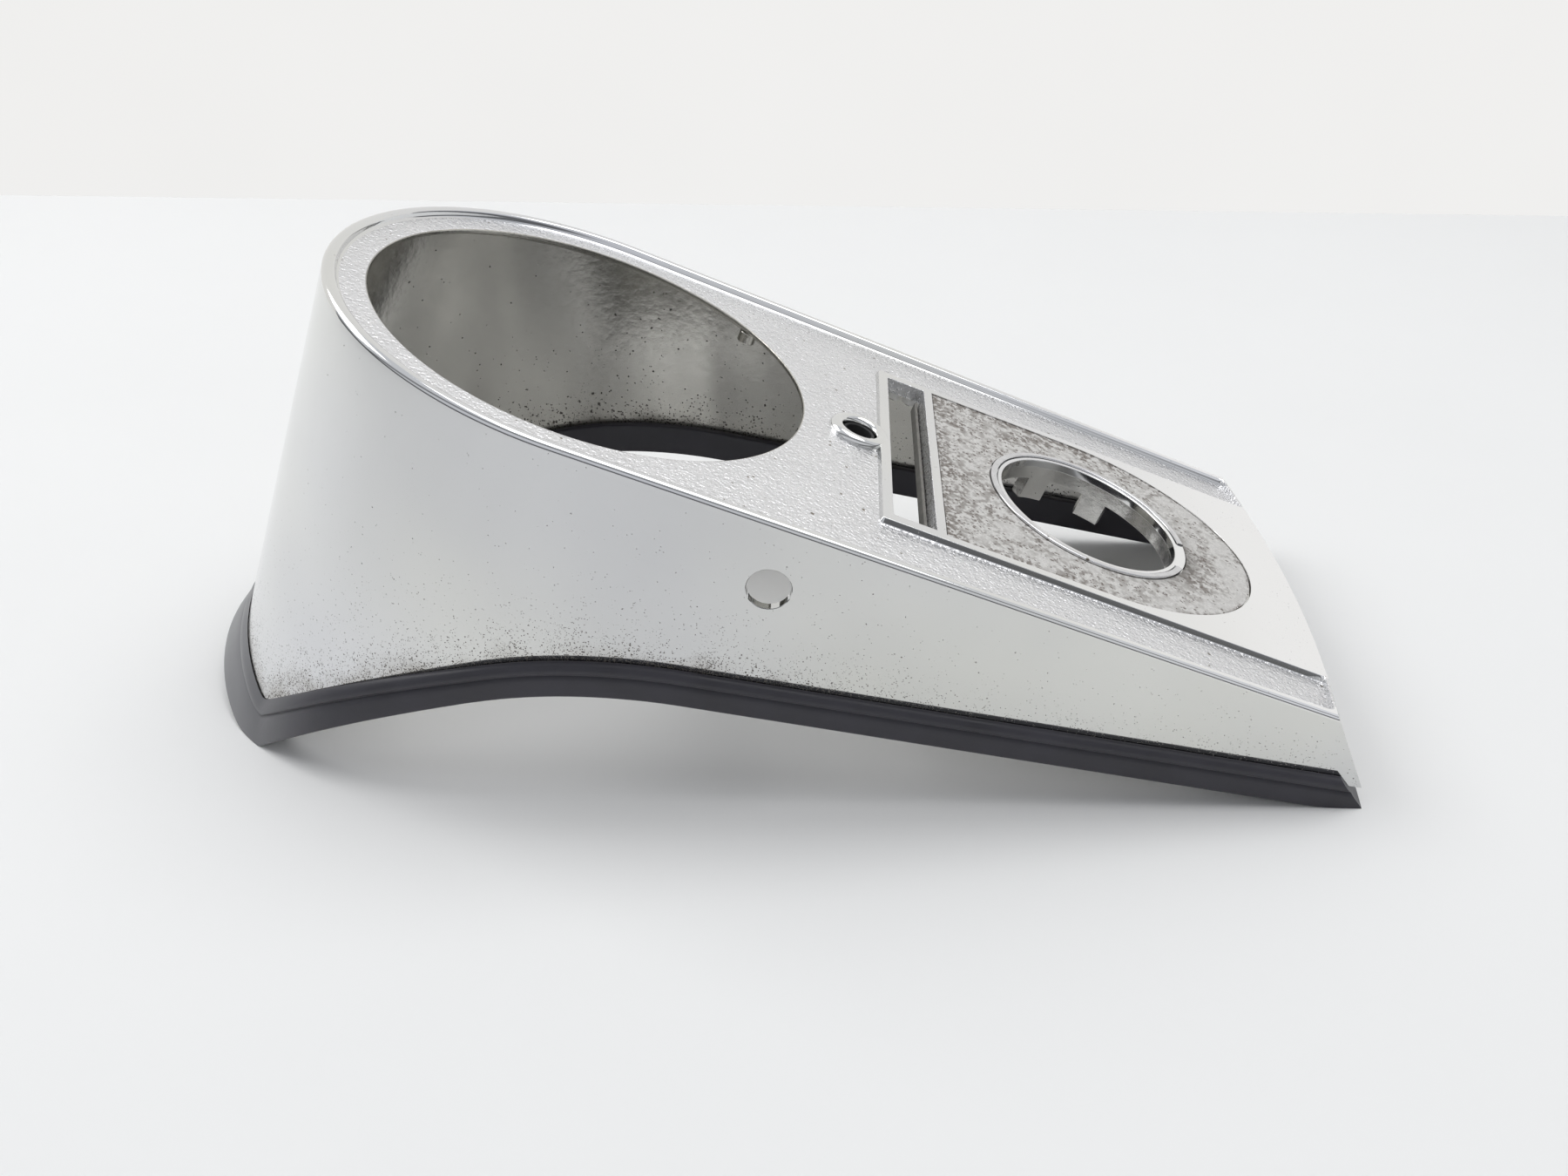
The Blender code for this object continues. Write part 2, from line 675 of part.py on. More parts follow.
def main():
    clear_scene()
    new_collection("dash_console")
    new_collection("cutters")
    root = new_empty("level_frame", None, Matrix())
    deck = new_empty("deck_frame", root, Matrix.Rotation(DECK_TILT, 4, "Y"))
    outward = Vector((math.sin(TAPER), -math.cos(TAPER), 0.0))
    turn = Vector((0.0, 0.0, 1.0)).rotation_difference(outward).to_matrix().to_4x4()
    spot = Matrix.Translation((FLANK_HOLE_SETBACK, -side_v(FLANK_HOLE_SETBACK), -FLANK_HOLE_DROP))
    hole_axis = new_empty("hole_axis", deck, spot @ turn)
    bpy.context.view_layer.update()
    make_shell(deck, root, hole_axis)
    make_gasket(deck, root)
    make_switch_trim(deck)
    make_stud_bush(deck)
    make_lamp_fittings(deck)
    seat_on_ground(root)
    shade_parts()


main()
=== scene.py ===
import math
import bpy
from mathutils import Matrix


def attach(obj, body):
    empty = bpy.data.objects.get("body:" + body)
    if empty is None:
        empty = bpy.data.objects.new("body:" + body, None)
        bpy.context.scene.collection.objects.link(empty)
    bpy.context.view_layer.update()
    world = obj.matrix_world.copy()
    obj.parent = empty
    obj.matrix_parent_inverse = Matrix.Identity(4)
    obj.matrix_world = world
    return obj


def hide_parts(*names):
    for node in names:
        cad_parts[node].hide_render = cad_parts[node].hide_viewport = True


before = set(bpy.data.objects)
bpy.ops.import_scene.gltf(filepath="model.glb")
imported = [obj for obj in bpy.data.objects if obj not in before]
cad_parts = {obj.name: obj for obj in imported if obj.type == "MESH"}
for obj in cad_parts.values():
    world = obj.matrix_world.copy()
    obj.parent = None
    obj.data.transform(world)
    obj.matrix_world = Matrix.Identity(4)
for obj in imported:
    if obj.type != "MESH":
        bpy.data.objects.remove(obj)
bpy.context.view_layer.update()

from types import SimpleNamespace

import bmesh
import bpy
import numpy as np
from bpy.props import FloatProperty, FloatVectorProperty, PointerProperty
from bpy.types import Operator, Panel, PropertyGroup
from mathutils import Matrix

bl_info = {
    "name": "Dash console",
    "version": (1, 0, 0),
    "blender": (4, 5, 0),
    "location": "View3D > Sidebar > Console",
    "description": "Plated tank console with its gasket, trim and finishes",
    "category": "Add Mesh",
}

# The middle of the instrument opening on the deck's field, from which deck places are measured
DECK_ORIGIN = np.array((-0.04343952, 0.0, 0.0962))

# Steps along the outline, from the end of the nose arc to the tail
STEPS_OPENING = 32
STEPS_EYELET = 6
STEPS_SLOT = 14
STEPS_INLAY = 24
STEPS_TAIL = 8
STEPS_CORNER = 5
STEPS_NOSE = 144
STEPS_FRONT = 40
STEPS_WALL = 48
FOOT_STEPS = 7

# Steps round the turned pieces
ROUND_LIP, ROUND_COLLAR, ROUND_EYELET = 128, 96, 72
ROUND_BUSH, ROUND_TUBE, ROUND_PIN = 48, 28, 20

# Flank hole: the block of the wall's grid that it is let into, and the bevel of its edges
HOLE_COLUMNS = 8
HOLE_ROWS_OUT = (10, 26)
HOLE_ROWS_IN = (8, 24)
HOLE_SOFT = 0.00015

# Finishes of the casting, in the order of its material slots
POLISHED, STIPPLED, DULL = 0, 1, 2

# Small rounds and gaps of the skins, in metres
FIELD_FILLET = 0.0007
ISLAND_FOOT = 0.00085
ISLAND_CORNER = 0.0006
SLOT_CORNER = 0.0005
EDGE_BLEND = 0.0012
TAIL_TRIM = 0.0001
SKIN_GAP = 0.00002
INLAY_SOFT = 0.00018
FITTING_SOFT = 0.0002

# From the opening to the first mark behind it, and the share of the tail's border that rises
OPENING_LAND = 0.006
TAIL_RISE = 0.85

# Metres per millimetre of the gasket's section, outside the wall and inside it
GASKET_OUT, GASKET_IN = 0.00098, 0.001

# In front of this place the nose's arch takes part in the lower edge
NOSE_END = -0.02

# Rounds in which a side's end at the tail and a wall's meeting with the lower edge settle
TAIL_ROUNDS = 6
EDGE_ROUNDS = 60

# Meshes: points nearer than the weld are one, edges sharper than the angle stay sharp
WELD = 3e-6
SLIVER = 1e-7
SHARP_EDGE = math.radians(32.0)

# Turns a right side into the left one
MIRROR = np.array((1.0, -1.0, 1.0))

# Places along the console and what the finishes have there: pits at the lower edge, and painted
# light
# and shade on the plating: shade on the walls about the middle, light on the deck's tops towards
# the tail
PITS_ALONG = ((-0.11, -0.09, 0.03, 0.11), (0.55, 1.0, 0.75, 0.16))
WALL_PAINTED_LIGHT = (
    (-0.06, -0.03, 0.01, 0.05, 0.08, 0.12, 0.18),
    (0.34, 0.2, 0.0, 0.02, 0.1, 0.2, 0.25),
)
DECK_PAINTED_LIGHT = ((0.0, 0.09, 0.15, 0.18), (0.45, 0.45, 0.8, 1.0))
# Painted light kept at least this high on small trim, which keeps it out of the painted shade
TRIM_PAINTED_LIGHT = 0.45

# Wear over the lower edge: the share and the reach of a narrow and a wide fading
WEAR_FADES = ((0.86, 0.0045), (0.14, 0.013))

# How far the inlay's stains reach in from its front and its right side
STAIN_REACH = 0.006


# ---------------------------------------------------------------- sizes and colours


def length(label, text, value):
    return FloatProperty(name=label, description=text, default=value, unit="LENGTH", precision=5)


def angle(label, text, degrees):
    return FloatProperty(
        name=label, description=text, default=math.radians(degrees), subtype="ANGLE"
    )


def colour(label, text, value):
    return FloatVectorProperty(
        name=label, description=text, default=value, size=3, min=0.0, max=1.0, subtype="COLOR"
    )


class ConsoleSizes(PropertyGroup):
    """Sizes of the console."""

    deck_tilt: angle("Deck tilt", "Fall of the deck towards the tail", 20.9)
    opening_radius: length("Opening", "Radius of the instrument opening", 0.0585)
    rim_width: length("Rim", "From the opening to the outline of the nose", 0.011)
    bead_width: length("Bead width", "Width of the raised bead on the outline", 0.0035)
    bead_height: length("Bead height", "Rise of the bead over the field", 0.002)
    shoulder_radius: length("Shoulder", "Round of the bead's outer side", 0.0016)
    wall: length("Wall", "Thickness of the side walls", 0.0025)
    deck_thickness: length("Deck", "Thickness of the deck under the field", 0.0025)
    eyelet_land: length("Eyelet land", "From the opening to the eyelet", 0.0075)
    eyelet_radius: length("Eyelet", "Outer radius of the stud eyelet", 0.0085)
    eyelet_overlap: length("Eyelet overlap", "How far the eyelet reaches into the island", 0.0026)
    eyelet_height: length("Eyelet height", "Rise of the eyelet over the field", 0.0021)
    eyelet_crown: length("Eyelet crown", "Round of the eyelet's top", 0.0015)
    eyelet_depth: length("Eyelet depth", "Depth of the eyelet below the field", 0.005)
    eyelet_bore: length("Eyelet bore", "Radius of the eyelet's bore", 0.0048)
    slot_frame: length("Slot frame", "From the island's front to the lamp slot", 0.0029)
    slot_width: length("Slot width", "Lamp slot, front to rear", 0.0115)
    slot_half: length("Slot half length", "Half the length of the lamp slot", 0.0423)
    slot_bar: length("Slot bar", "Bar between the lamp slot and the inlay", 0.0027)
    well_wall: length("Well wall", "Wall of the rails under the lamp slot", 0.002)
    well_depth: length("Well depth", "Depth of the rails below the field", 0.0055)
    well_end: length("Well end", "From a rail's end to the slot's end", 0.0015)
    island_height: length("Island height", "Rise of the island over the field", 0.0016)
    island_border: length("Island border", "From the inlay to the island's side", 0.0027)
    inlay_lead: length("Inlay lead", "From the inlay's front to the trim ring", 0.0157)
    inlay_side: length("Inlay side", "From the trim ring to the inlay's side", 0.0134)
    inlay_tail: length("Inlay tail", "From the trim ring to the inlay's rear", 0.0201)
    inlay_thickness: length("Inlay thickness", "Thickness of the inlay plate", 0.0005)
    inlay_floor: length("Inlay floor", "Level of the recess under the inlay", 0.0005)
    field_band: length("Field band", "Width of the field beside the island", 0.0188)
    tail_land: length("Tail land", "From the inlay to the tail edge", 0.0138)
    tail_bulge: length("Tail bulge", "How far the tail edge bows out", 0.006)
    tail_border: length("Tail border", "Slope that closes the field at the tail", 0.0028)
    tail_lean: angle("Tail lean", "Lean of the tail cut", 45.8)
    switch_bore: length("Switch bore", "Radius of the switch hole", 0.0263)
    lip_width: length("Lip width", "Width of the cast lip round the switch hole", 0.0012)
    ring_width: length("Ring width", "Width of the trim ring", 0.0018)
    ring_height: length("Ring height", "Height of the trim ring", 0.0012)
    key_angle: angle("Key angle", "Turn of the cast key from straight back", -13.5)
    key_span: angle("Key half span", "Half the span of the cast key", 15.0)
    collar_wall: length("Collar wall", "Wall of the collar under the switch hole", 0.003)
    collar_depth: length("Collar depth", "Depth of the collar below the field", 0.0048)
    post_wall: length("Post wall", "Depth of the switch posts, from the bore out", 0.0042)
    post_depth: length("Post depth", "Depth of the switch posts below the field", 0.0116)
    post_spread: angle("Post spread", "Turn of the posts from straight across", 20.0)
    post_span: angle("Post half span", "Half the span of a post", 8.0)
    boss_radius: length("Boss", "Radius of the instrument bosses", 0.0026)
    boss_bore: length("Boss bore", "Radius of the bosses' screw holes", 0.0013)
    boss_depth: length("Boss depth", "Depth of the bosses below the field", 0.0056)
    boss_inset: length("Boss inset", "From the opening's edge to a boss", 0.0037)
    boss_angle: angle("Boss angle", "Turn of the bosses from straight back", 49.5)
    pin_radius: length("Pin", "Radius of the lamp pins", 0.0012)
    pin_length: length("Pin length", "Length of the lamp pins", 0.0048)
    pin_pitch: length("Pin pitch", "Between the two pins of a pair", 0.0052)
    pin_shift: length("Pin shift", "How far the pins stand behind the slot's middle", 0.002)
    pin_reach: length("Pin reach", "From the slot's end to the pins", 0.0077)
    crest_drop: length("Crest drop", "Lower edge at its highest, below the opening", 0.0584)
    crest_round: length("Crest round", "Length of the round behind the crest", 0.028)
    flank_fall: angle("Flank fall", "Fall of the lower edge towards the tail", 10.3)
    corner_drop: length("Corner drop", "Lower edge at the nose corners", 0.0902)
    corner_angle: angle("Corner angle", "Where on the nose the corners are", 137.0)
    nose_drop: length("Nose drop", "Lower edge at the middle of the nose", 0.0765)
    gasket_lip: length("Gasket lip", "How far the gasket reaches up the wall", 0.003)
    gasket_skirt: length("Gasket skirt", "Gasket below the wall's edge", 0.0064)
    gasket_nose: length("Gasket nose skirt", "The same at the nose", 0.0097)
    gasket_pinch: length("Gasket pinch", "How much thinner the lip is at the nose", 0.0021)
    gasket_waist: length("Gasket waist", "How much thinner the waist is at the nose", 0.0012)
    gasket_flare: length("Gasket flare", "How far the skirt flares at the nose", 0.0018)
    gasket_setback: length("Gasket setback", "Gasket's end in front of the tail corner", 0.0044)
    gasket_skew: angle("Gasket skew", "Extra lean of the gasket's end", 13.0)
    seal_width: length("Seal width", "Width of the seal on the rear rail", 0.0009)
    seal_height: length("Seal height", "Height of the seal on the rear rail", 0.003)
    sleeve_wall: length("Sleeve wall", "Wall of the pin sleeves", 0.0008)
    sleeve_length: length("Sleeve length", "Length of the pin sleeves", 0.0038)
    bush_bore: length("Bush bore", "Radius of the stud bush's bore", 0.0037)
    bush_gap: length("Bush gap", "Between the bush's flange and the lamp well", 0.0005)
    bush_flange: length("Bush flange", "Thickness of the bush's flange", 0.0015)
    hole_setback: length("Flank hole setback", "Flank hole behind the opening's middle", 0.0583)
    hole_drop: length("Flank hole drop", "Flank hole below the field", 0.0151)
    hole_radius: length("Flank hole", "Radius of the round hole in the left flank", 0.0054)
    fit: length("Fit", "Play between fitted pieces", 0.0003)


class ConsoleColours(PropertyGroup):
    """Colours of the console's finishes and of the stage."""

    plating: colour("Plating", "Polished plating of the outside", (0.76, 0.765, 0.775))
    field: colour("Field", "Stippled satin field", (0.82, 0.82, 0.83))
    pit: colour("Pits", "Corrosion pits in the plating", (0.13, 0.115, 0.095))
    inside: colour("Inside", "Dull casting of the inside", (0.5, 0.49, 0.455))
    gasket: colour("Gasket", "Rubber edge gasket", (0.018, 0.017, 0.023))
    gasket_faded: colour("Gasket faded", "Rubber faded at the nose", (0.23, 0.23, 0.235))
    inlay_pale: colour("Inlay pale", "Pale corrosion on the inlay", (0.7, 0.685, 0.655))
    inlay_grey: colour("Inlay grey", "Bare grey of the inlay", (0.21, 0.19, 0.17))
    inlay_brown: colour("Inlay brown", "Brown stains on the inlay", (0.11, 0.085, 0.068))
    trim: colour("Trim", "Trim ring", (0.74, 0.74, 0.75))
    bush: colour("Bush", "Stud bush", (0.012, 0.012, 0.012))
    seal: colour("Seal", "Seal in the lamp well", (0.16, 0.155, 0.14))
    nylon: colour("Nylon", "Sleeves on the lamp pins", (0.9, 0.885, 0.84))
    table: colour("Table", "Table the console stands on", (0.87, 0.87, 0.855))
    backdrop: colour("Backdrop", "Wall behind the table", (0.885, 0.88, 0.87))


def places(size):
    """All sizes in one bundle, with the places along the deck that follow from them."""
    p = SimpleNamespace(**{key: getattr(size, key) for key in ConsoleSizes.__annotations__})
    p.sin, p.cos = math.sin(p.deck_tilt), math.cos(p.deck_tilt)
    p.nose = p.opening_radius + p.rim_width
    p.eyelet_u = p.opening_radius + p.eyelet_land + p.eyelet_radius
    p.island_u = p.eyelet_u + p.eyelet_radius - p.eyelet_overlap
    p.slot_u = p.island_u + p.slot_frame
    p.slot_rear = p.slot_u + p.slot_width
    p.rail_half = p.slot_half - p.well_end
    p.inlay_u = p.slot_rear + p.slot_bar
    p.lip_radius = p.switch_bore + p.lip_width
    p.ring_radius = p.lip_radius + p.fit + p.ring_width
    p.switch_u = p.inlay_u + p.inlay_lead + p.ring_radius
    p.inlay_reach = p.ring_radius + p.inlay_tail
    p.inlay_half = p.ring_radius + p.inlay_side
    p.island_half = p.inlay_half + p.island_border
    p.tail_u = p.switch_u + p.inlay_reach + p.tail_land
    p.tail_half = p.island_half + p.field_band
    p.corner_u = p.tail_u - p.tail_bulge
    p.bar_u = (p.slot_rear + p.inlay_u) / 2
    p.pin_u = (p.slot_u + p.slot_rear) / 2 + p.pin_shift
    p.pin_v = p.slot_half + p.pin_reach
    reach = math.hypot(p.tail_half, p.corner_u)
    p.taper = math.atan2(p.corner_u, p.tail_half) - math.acos(p.nose / reach)
    p.corner_y = p.nose * math.sin(p.corner_angle)
    corner = p.nose * math.cos(p.corner_angle)
    p.corner_x = corner * p.cos + (corner * p.sin - p.corner_drop) / p.cos * p.sin
    p.floor = -float(DECK_ORIGIN[2])
    p.tail = SimpleNamespace(u=p.tail_u - TAIL_TRIM, w=p.bead_height, lean=p.tail_lean)
    run, slope = math.tan(p.tail_lean), math.tan(p.flank_fall)
    start = p.corner_u + p.bead_height * run
    fall = start * (p.sin - slope * p.cos) - p.crest_drop + slope * p.crest_round / 2
    foot_w = fall / (run * p.sin + p.cos - slope * (run * p.cos - p.sin))
    foot_u = start - foot_w * run
    p.gasket_tail = SimpleNamespace(
        u=foot_u + p.tail_bulge - p.gasket_setback - TAIL_TRIM,
        w=foot_w,
        lean=p.tail_lean + p.gasket_skew,
    )
    return p


# ---------------------------------------------------------------- frames and meshes


def deck_axes(p):
    """The deck's directions: u along its fall, v across to the right, w off its face."""
    return np.array(((p.cos, 0.0, -p.sin), (0.0, 1.0, 0.0), (p.sin, 0.0, p.cos)))


def deck_to_world(p, points):
    """Deck places to metres: origin + u along the falling deck + v across + w off the deck."""
    return DECK_ORIGIN + np.asarray(points) @ deck_axes(p)


def placed(x, y, z, place):
    """The matrix of an object with these axes at a place."""
    return Matrix([(x[i], y[i], z[i], place[i]) for i in range(3)] + [(0, 0, 0, 1)])


def grid_quads(index):
    """The four corners of each cell of a grid of point numbers."""
    corners = (index[:-1, :-1], index[:-1, 1:], index[1:, 1:], index[1:, :-1])
    return np.stack(corners, -1).reshape(-1, 4)


class Patches:
    """Grids of points with their finishes, welded into one mesh at the end."""

    def __init__(self):
        self.points, self.quads, self.finishes, self.count = [], [], [], 0

    def add(self, grid, finish=POLISHED, closed=False, looped=False):
        """A grid of rows and columns; closed joins its last column to the first.

        Looped joins its last row to the first.
        """
        rows, cols = grid.shape[:2]
        index = np.arange(rows * cols).reshape(rows, cols) + self.count
        if closed:
            index = np.concatenate([index, index[:, :1]], axis=1)
        if looped:
            index = np.concatenate([index, index[:1]], axis=0)
        quads = grid_quads(index)
        self.points.append(grid.reshape(-1, 3))
        self.quads.append(quads)
        self.finishes.append(np.full(len(quads), finish))
        self.count += rows * cols

    def build(self, name, p, materials, body, slot, nodes):
        """Puts the grids into a mesh, welds their seams, fills open ends and turns faces out."""
        mesh = bpy.data.meshes.new(name)
        points = deck_to_world(p, np.concatenate(self.points))
        quads = np.concatenate(self.quads)
        mesh.vertices.add(len(points))
        mesh.vertices.foreach_set("co", points.astype(np.float32).ravel())
        mesh.loops.add(quads.size)
        mesh.loops.foreach_set("vertex_index", quads.astype(np.int32).ravel())
        mesh.polygons.add(len(quads))
        mesh.polygons.foreach_set("loop_start", np.arange(0, quads.size, 4, dtype=np.int32))
        finishes = np.concatenate(self.finishes).astype(np.int32)
        for material in materials:
            mesh.materials.append(material)
        mesh.polygons.foreach_set("material_index", finishes)
        mesh.update(calc_edges=True)
        shape = bmesh.new()
        shape.from_mesh(mesh)
        bmesh.ops.remove_doubles(shape, verts=shape.verts, dist=WELD)
        bmesh.ops.dissolve_degenerate(shape, dist=SLIVER, edges=shape.edges)
        open_edges = [edge for edge in shape.edges if edge.is_boundary]
        if open_edges:
            bmesh.ops.holes_fill(shape, edges=open_edges, sides=0)
        bmesh.ops.recalc_face_normals(shape, faces=shape.faces)
        shape.to_mesh(mesh)
        shape.free()
        mesh.shade_smooth()
        mesh.set_sharp_from_angle(angle=SHARP_EDGE)
        piece = bpy.data.objects.new(name, mesh)
        bpy.context.scene.collection.objects.link(piece)
        weight = piece.modifiers.new("even_shading", "WEIGHTED_NORMAL")
        weight.keep_sharp = True
        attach(piece, body)
        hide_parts(*nodes)
        return piece


def between(first, last, steps):
    """Ruled grid: straight lines from each point of one row to its partner in the other."""
    share = np.linspace(0.0, 1.0, steps + 1)[:, None, None]
    return first[None] * (1 - share) + last[None] * share


def line(first, last, steps):
    """The points inside a straight line, without its two ends."""
    share = np.linspace(0.0, 1.0, steps + 1)[1:-1, None]
    return first * (1 - share) + last * share


def deck_points(u, v, w):
    return np.stack(np.broadcast_arrays(u, v, w), -1).astype(float)


def swept(profile, u, v, turn):
    """A profile of radius and height, carried about an upright axis at u, v."""
    radius, height = np.array(profile, float).T[:, :, None]
    return deck_points(u + radius * np.cos(turn), v + radius * np.sin(turn), height)


def turned(profile, u, v, steps):
    """The profile carried all the way round; the grid is closed later."""
    return swept(profile, u, v, np.linspace(0.0, math.tau, steps, endpoint=False))


def sector(profile, u, v, start, end, steps):
    """The profile carried along part of a circle."""
    return swept(profile, u, v, np.linspace(start, end, steps + 1))


def rounded_box(inner, outer, low, high, corner=0.0003, steps=3):
    """Closed ring section of radius and height with its four edges rounded."""
    turn = np.linspace(0.0, math.pi / 2, steps + 1)
    out = []
    for cx, cy, begin in (
        (outer - corner, high - corner, 0.0),
        (inner + corner, high - corner, math.pi / 2),
        (inner + corner, low + corner, math.pi),
        (outer - corner, low + corner, 1.5 * math.pi),
    ):
        out.append(
            np.stack([cx + corner * np.cos(turn + begin), cy + corner * np.sin(turn + begin)], -1)
        )
    return np.concatenate(out)


# ---------------------------------------------------------------- outline and lower edge


def tail_reach(p, v, w, cut):
    """The tail surface: u = cut.u - bow of v + (cut.w - w) tan(lean)."""
    return cut.u - p.tail_bulge * (v / p.tail_half) ** 2 + (cut.w - w) * math.tan(cut.lean)


def tail_end(p, inset, w, cut):
    """Where a side line at an inset from the outline meets the tail surface."""
    sin, cos = math.sin(p.taper), math.cos(p.taper)
    u = cut.u + 0.0 * w
    for _ in range(TAIL_ROUNDS):
        v = (p.nose - inset - u * sin) / cos
        u = tail_reach(p, v, w, cut)
    return u, (p.nose - inset - u * sin) / cos


def field_inset(p):
    """From the outline to where the flat field begins."""
    return p.bead_width + FIELD_FILLET


def deck_columns(p):
    """Columns round the outline: left side from the tail, nose arc, right side to the tail.

    Each side column stands at a share of the way from the nose arc to the tail; share breaks
    lie behind the opening, at the island, at the bar behind the slot and at the tail's slope.
    """
    inset = field_inset(p)
    start = (p.nose - inset) * math.sin(p.taper)
    end = float(tail_end(p, inset, np.zeros(1), p.tail)[0][0])
    marks = [
        0.0,
        (p.opening_radius + OPENING_LAND - start) / (end - start),
        (p.island_u - ISLAND_FOOT - start) / (end - start),
        (p.bar_u - start) / (end - start),
        (end - p.tail_border - start) / (end - start),
        1.0,
    ]
    steps = (STEPS_OPENING, STEPS_EYELET, STEPS_SLOT, STEPS_INLAY, STEPS_TAIL)
    runs = [np.linspace(a, b, n + 1)[:-1] for a, b, n in zip(marks, marks[1:], steps)]
    side = np.concatenate([*runs, [1.0]])
    half = math.pi / 2 - p.taper
    nose = np.linspace(-half, half - math.tau, STEPS_NOSE + 1)[1:-1]
    count = len(side)
    c = SimpleNamespace()
    c.share = np.concatenate([side[::-1], np.zeros(len(nose)), side])
    c.turn = np.concatenate([np.full(count, -half), nose, np.full(count, half)])
    c.hand = np.where(np.arange(len(c.share)) < count + len(nose) / 2, -1.0, 1.0)
    on_side = np.zeros(count, bool)
    c.on_nose = np.concatenate([on_side, np.ones(len(nose), bool), on_side])
    rise = np.clip((side - marks[4]) / (1 - marks[4]) / TAIL_RISE, 0.0, 1.0)
    c.side_lift = rise * rise * (3 - 2 * rise)
    c.lift = np.concatenate([c.side_lift[::-1], np.zeros(len(nose)), c.side_lift])
    a = STEPS_OPENING
    i = a + STEPS_EYELET
    b = i + STEPS_SLOT
    last = count - 1
    c.left = SimpleNamespace(a=last - a, i=last - i, b=last - b, tail=0)
    base = count + len(nose)
    c.right = SimpleNamespace(a=base + a, i=base + i, b=base + b, tail=base + last)
    return c


def outline_points(p, c, inset, w, cut, flare=0.0):
    """Points at an inset from the outline and a height over the field.

    On the nose: radius (nose - inset) about the opening's middle, plus flare towards the front.
    On a side: from the end of the nose arc, the column's share of the way to the tail surface.
    """
    inset, w = np.broadcast_arrays(np.asarray(inset, float), np.asarray(w, float))
    radius = p.nose - inset
    end_u, end_v = tail_end(p, inset, w, cut)
    start_u, start_v = radius * math.sin(p.taper), radius * math.cos(p.taper)
    bent = radius + flare * np.maximum(0.0, -np.cos(c.turn))
    u = np.where(c.on_nose, bent * np.cos(c.turn), start_u + c.share * (end_u - start_u))
    v = np.where(
        c.on_nose, bent * np.sin(c.turn), c.hand * (start_v + c.share * (end_v - start_v))
    )
    return np.stack([u, v, w], -1)


def edge_height(p, x, y, rise=0.0, nose_rise=0.0, floor=-1.0):
    """Level of the lower edge: the flank's arch and fall, or the nose's arch if higher."""
    slope = math.tan(p.flank_fall)
    front = -p.crest_drop - (p.corner_drop - p.crest_drop) * (x / p.corner_x) ** 2
    front = np.where(x < p.corner_x, -p.corner_drop, front)
    crest = -p.crest_drop - slope * x * x / (2 * p.crest_round)
    rear = -p.crest_drop - slope * (x - p.crest_round / 2)
    flank = rise + np.where(x < 0, front, np.where(x < p.crest_round, crest, rear))
    high = nose_rise - p.nose_drop
    low = max(floor, rise - p.corner_drop)
    arch = high - (high - low) * (y / p.corner_y) ** 2
    gap = flank - arch
    soft = (flank + arch + np.sqrt(gap * gap + EDGE_BLEND**2)) / 2
    return np.maximum(np.where(x < NOSE_END, soft, flank), floor)


def edge_w(p, c, inset, cut, rise=0.0, nose_rise=0.0, floor=-1.0, flare=0.0):
    """Height over the field, on each column, at which the wall meets the lower edge."""
    first_guess = -0.05
    w = np.full(len(c.share), first_guess)
    for _ in range(EDGE_ROUNDS):
        at = outline_points(p, c, inset, w, cut, flare)
        x = at[:, 0] * p.cos + w * p.sin
        level = edge_height(p, x, at[:, 1], rise, nose_rise, floor)
        w = (level + at[:, 0] * p.sin) / p.cos
    return w


# ---------------------------------------------------------------- casting


def bead_profile(p):
    """Inset and height of the bead, from its outer shoulder over its crown to the field."""
    r, h, b = p.shoulder_radius, p.bead_height, p.bead_width
    turn = np.linspace(0.0, math.pi / 2, 9)
    outer = np.stack([r - r * np.cos(turn), h - r + r * np.sin(turn)], -1)
    inner = np.array(
        (
            (b * 0.6, h * 0.985),
            (b * 0.72, h * 0.945),
            (b * 0.82, h * 0.87),
            (b * 0.875, h * 0.78),
            (b * 0.925, h * 0.54),
            (b * 0.97, h * 0.32),
            (b + 0.00004, h * 0.17),
            (b + 0.00025, h * 0.065),
            (b + 0.00048, h * 0.012),
            (field_inset(p), 0.0),
        )
    )
    return np.concatenate([outer, inner])


def island_profile(p):
    """Offset and height of the island's side: concave foot, drafted flank, rounded top edge."""
    draft, r, edge = math.radians(20.0), 0.0005, 0.00022
    turn = np.linspace(0.0, math.pi / 2 - draft, FOOT_STEPS)
    low = np.stack([ISLAND_FOOT - r * np.sin(turn), r - r * np.cos(turn)], -1)
    turn = np.linspace(draft, math.pi / 2, 6)
    high = np.stack([edge * np.cos(turn) - edge, p.island_height - edge + edge * np.sin(turn)], -1)
    return np.concatenate([low, high])


def island_columns(p, c, offset, height, lift_to):
    """One row of the island's side: right tail, corner, front, corner, left tail.

    The outline is offset outwards; near the tail the row rises to lift_to with the field's slope.
    """
    r = ISLAND_CORNER
    lift = c.side_lift[STEPS_OPENING + STEPS_EYELET:]
    w = height + lift * (lift_to - height)
    turn = np.linspace(math.pi, math.pi / 2, STEPS_CORNER + 1)
    corner_u = p.island_u + r + (r + offset) * np.cos(turn)
    corner_v = p.island_half - r + (r + offset) * np.sin(turn)
    v = p.island_half + offset
    end = tail_reach(p, v, w[STEPS_CORNER:], p.tail)
    top = tail_reach(p, v, p.island_height, p.tail)
    first = p.island_u + r
    marks = np.concatenate(
        [
            np.linspace(first, p.bar_u, STEPS_SLOT - STEPS_CORNER + 1)[:-1],
            np.linspace(p.bar_u, top - p.tail_border, STEPS_INLAY + 1)[:-1],
            np.linspace(top - p.tail_border, top, STEPS_TAIL + 1),
        ]
    )
    side_u = first + (marks - first) / (top - first) * (end - first)
    u = np.concatenate([corner_u[:-1], side_u])
    half = np.concatenate([corner_v[:-1], np.full(len(side_u), v)])
    right = np.stack([u, half, w], -1)
    left = right * MIRROR
    front = line(right[0], left[0], STEPS_FRONT)
    return np.concatenate([right[::-1], front, left])


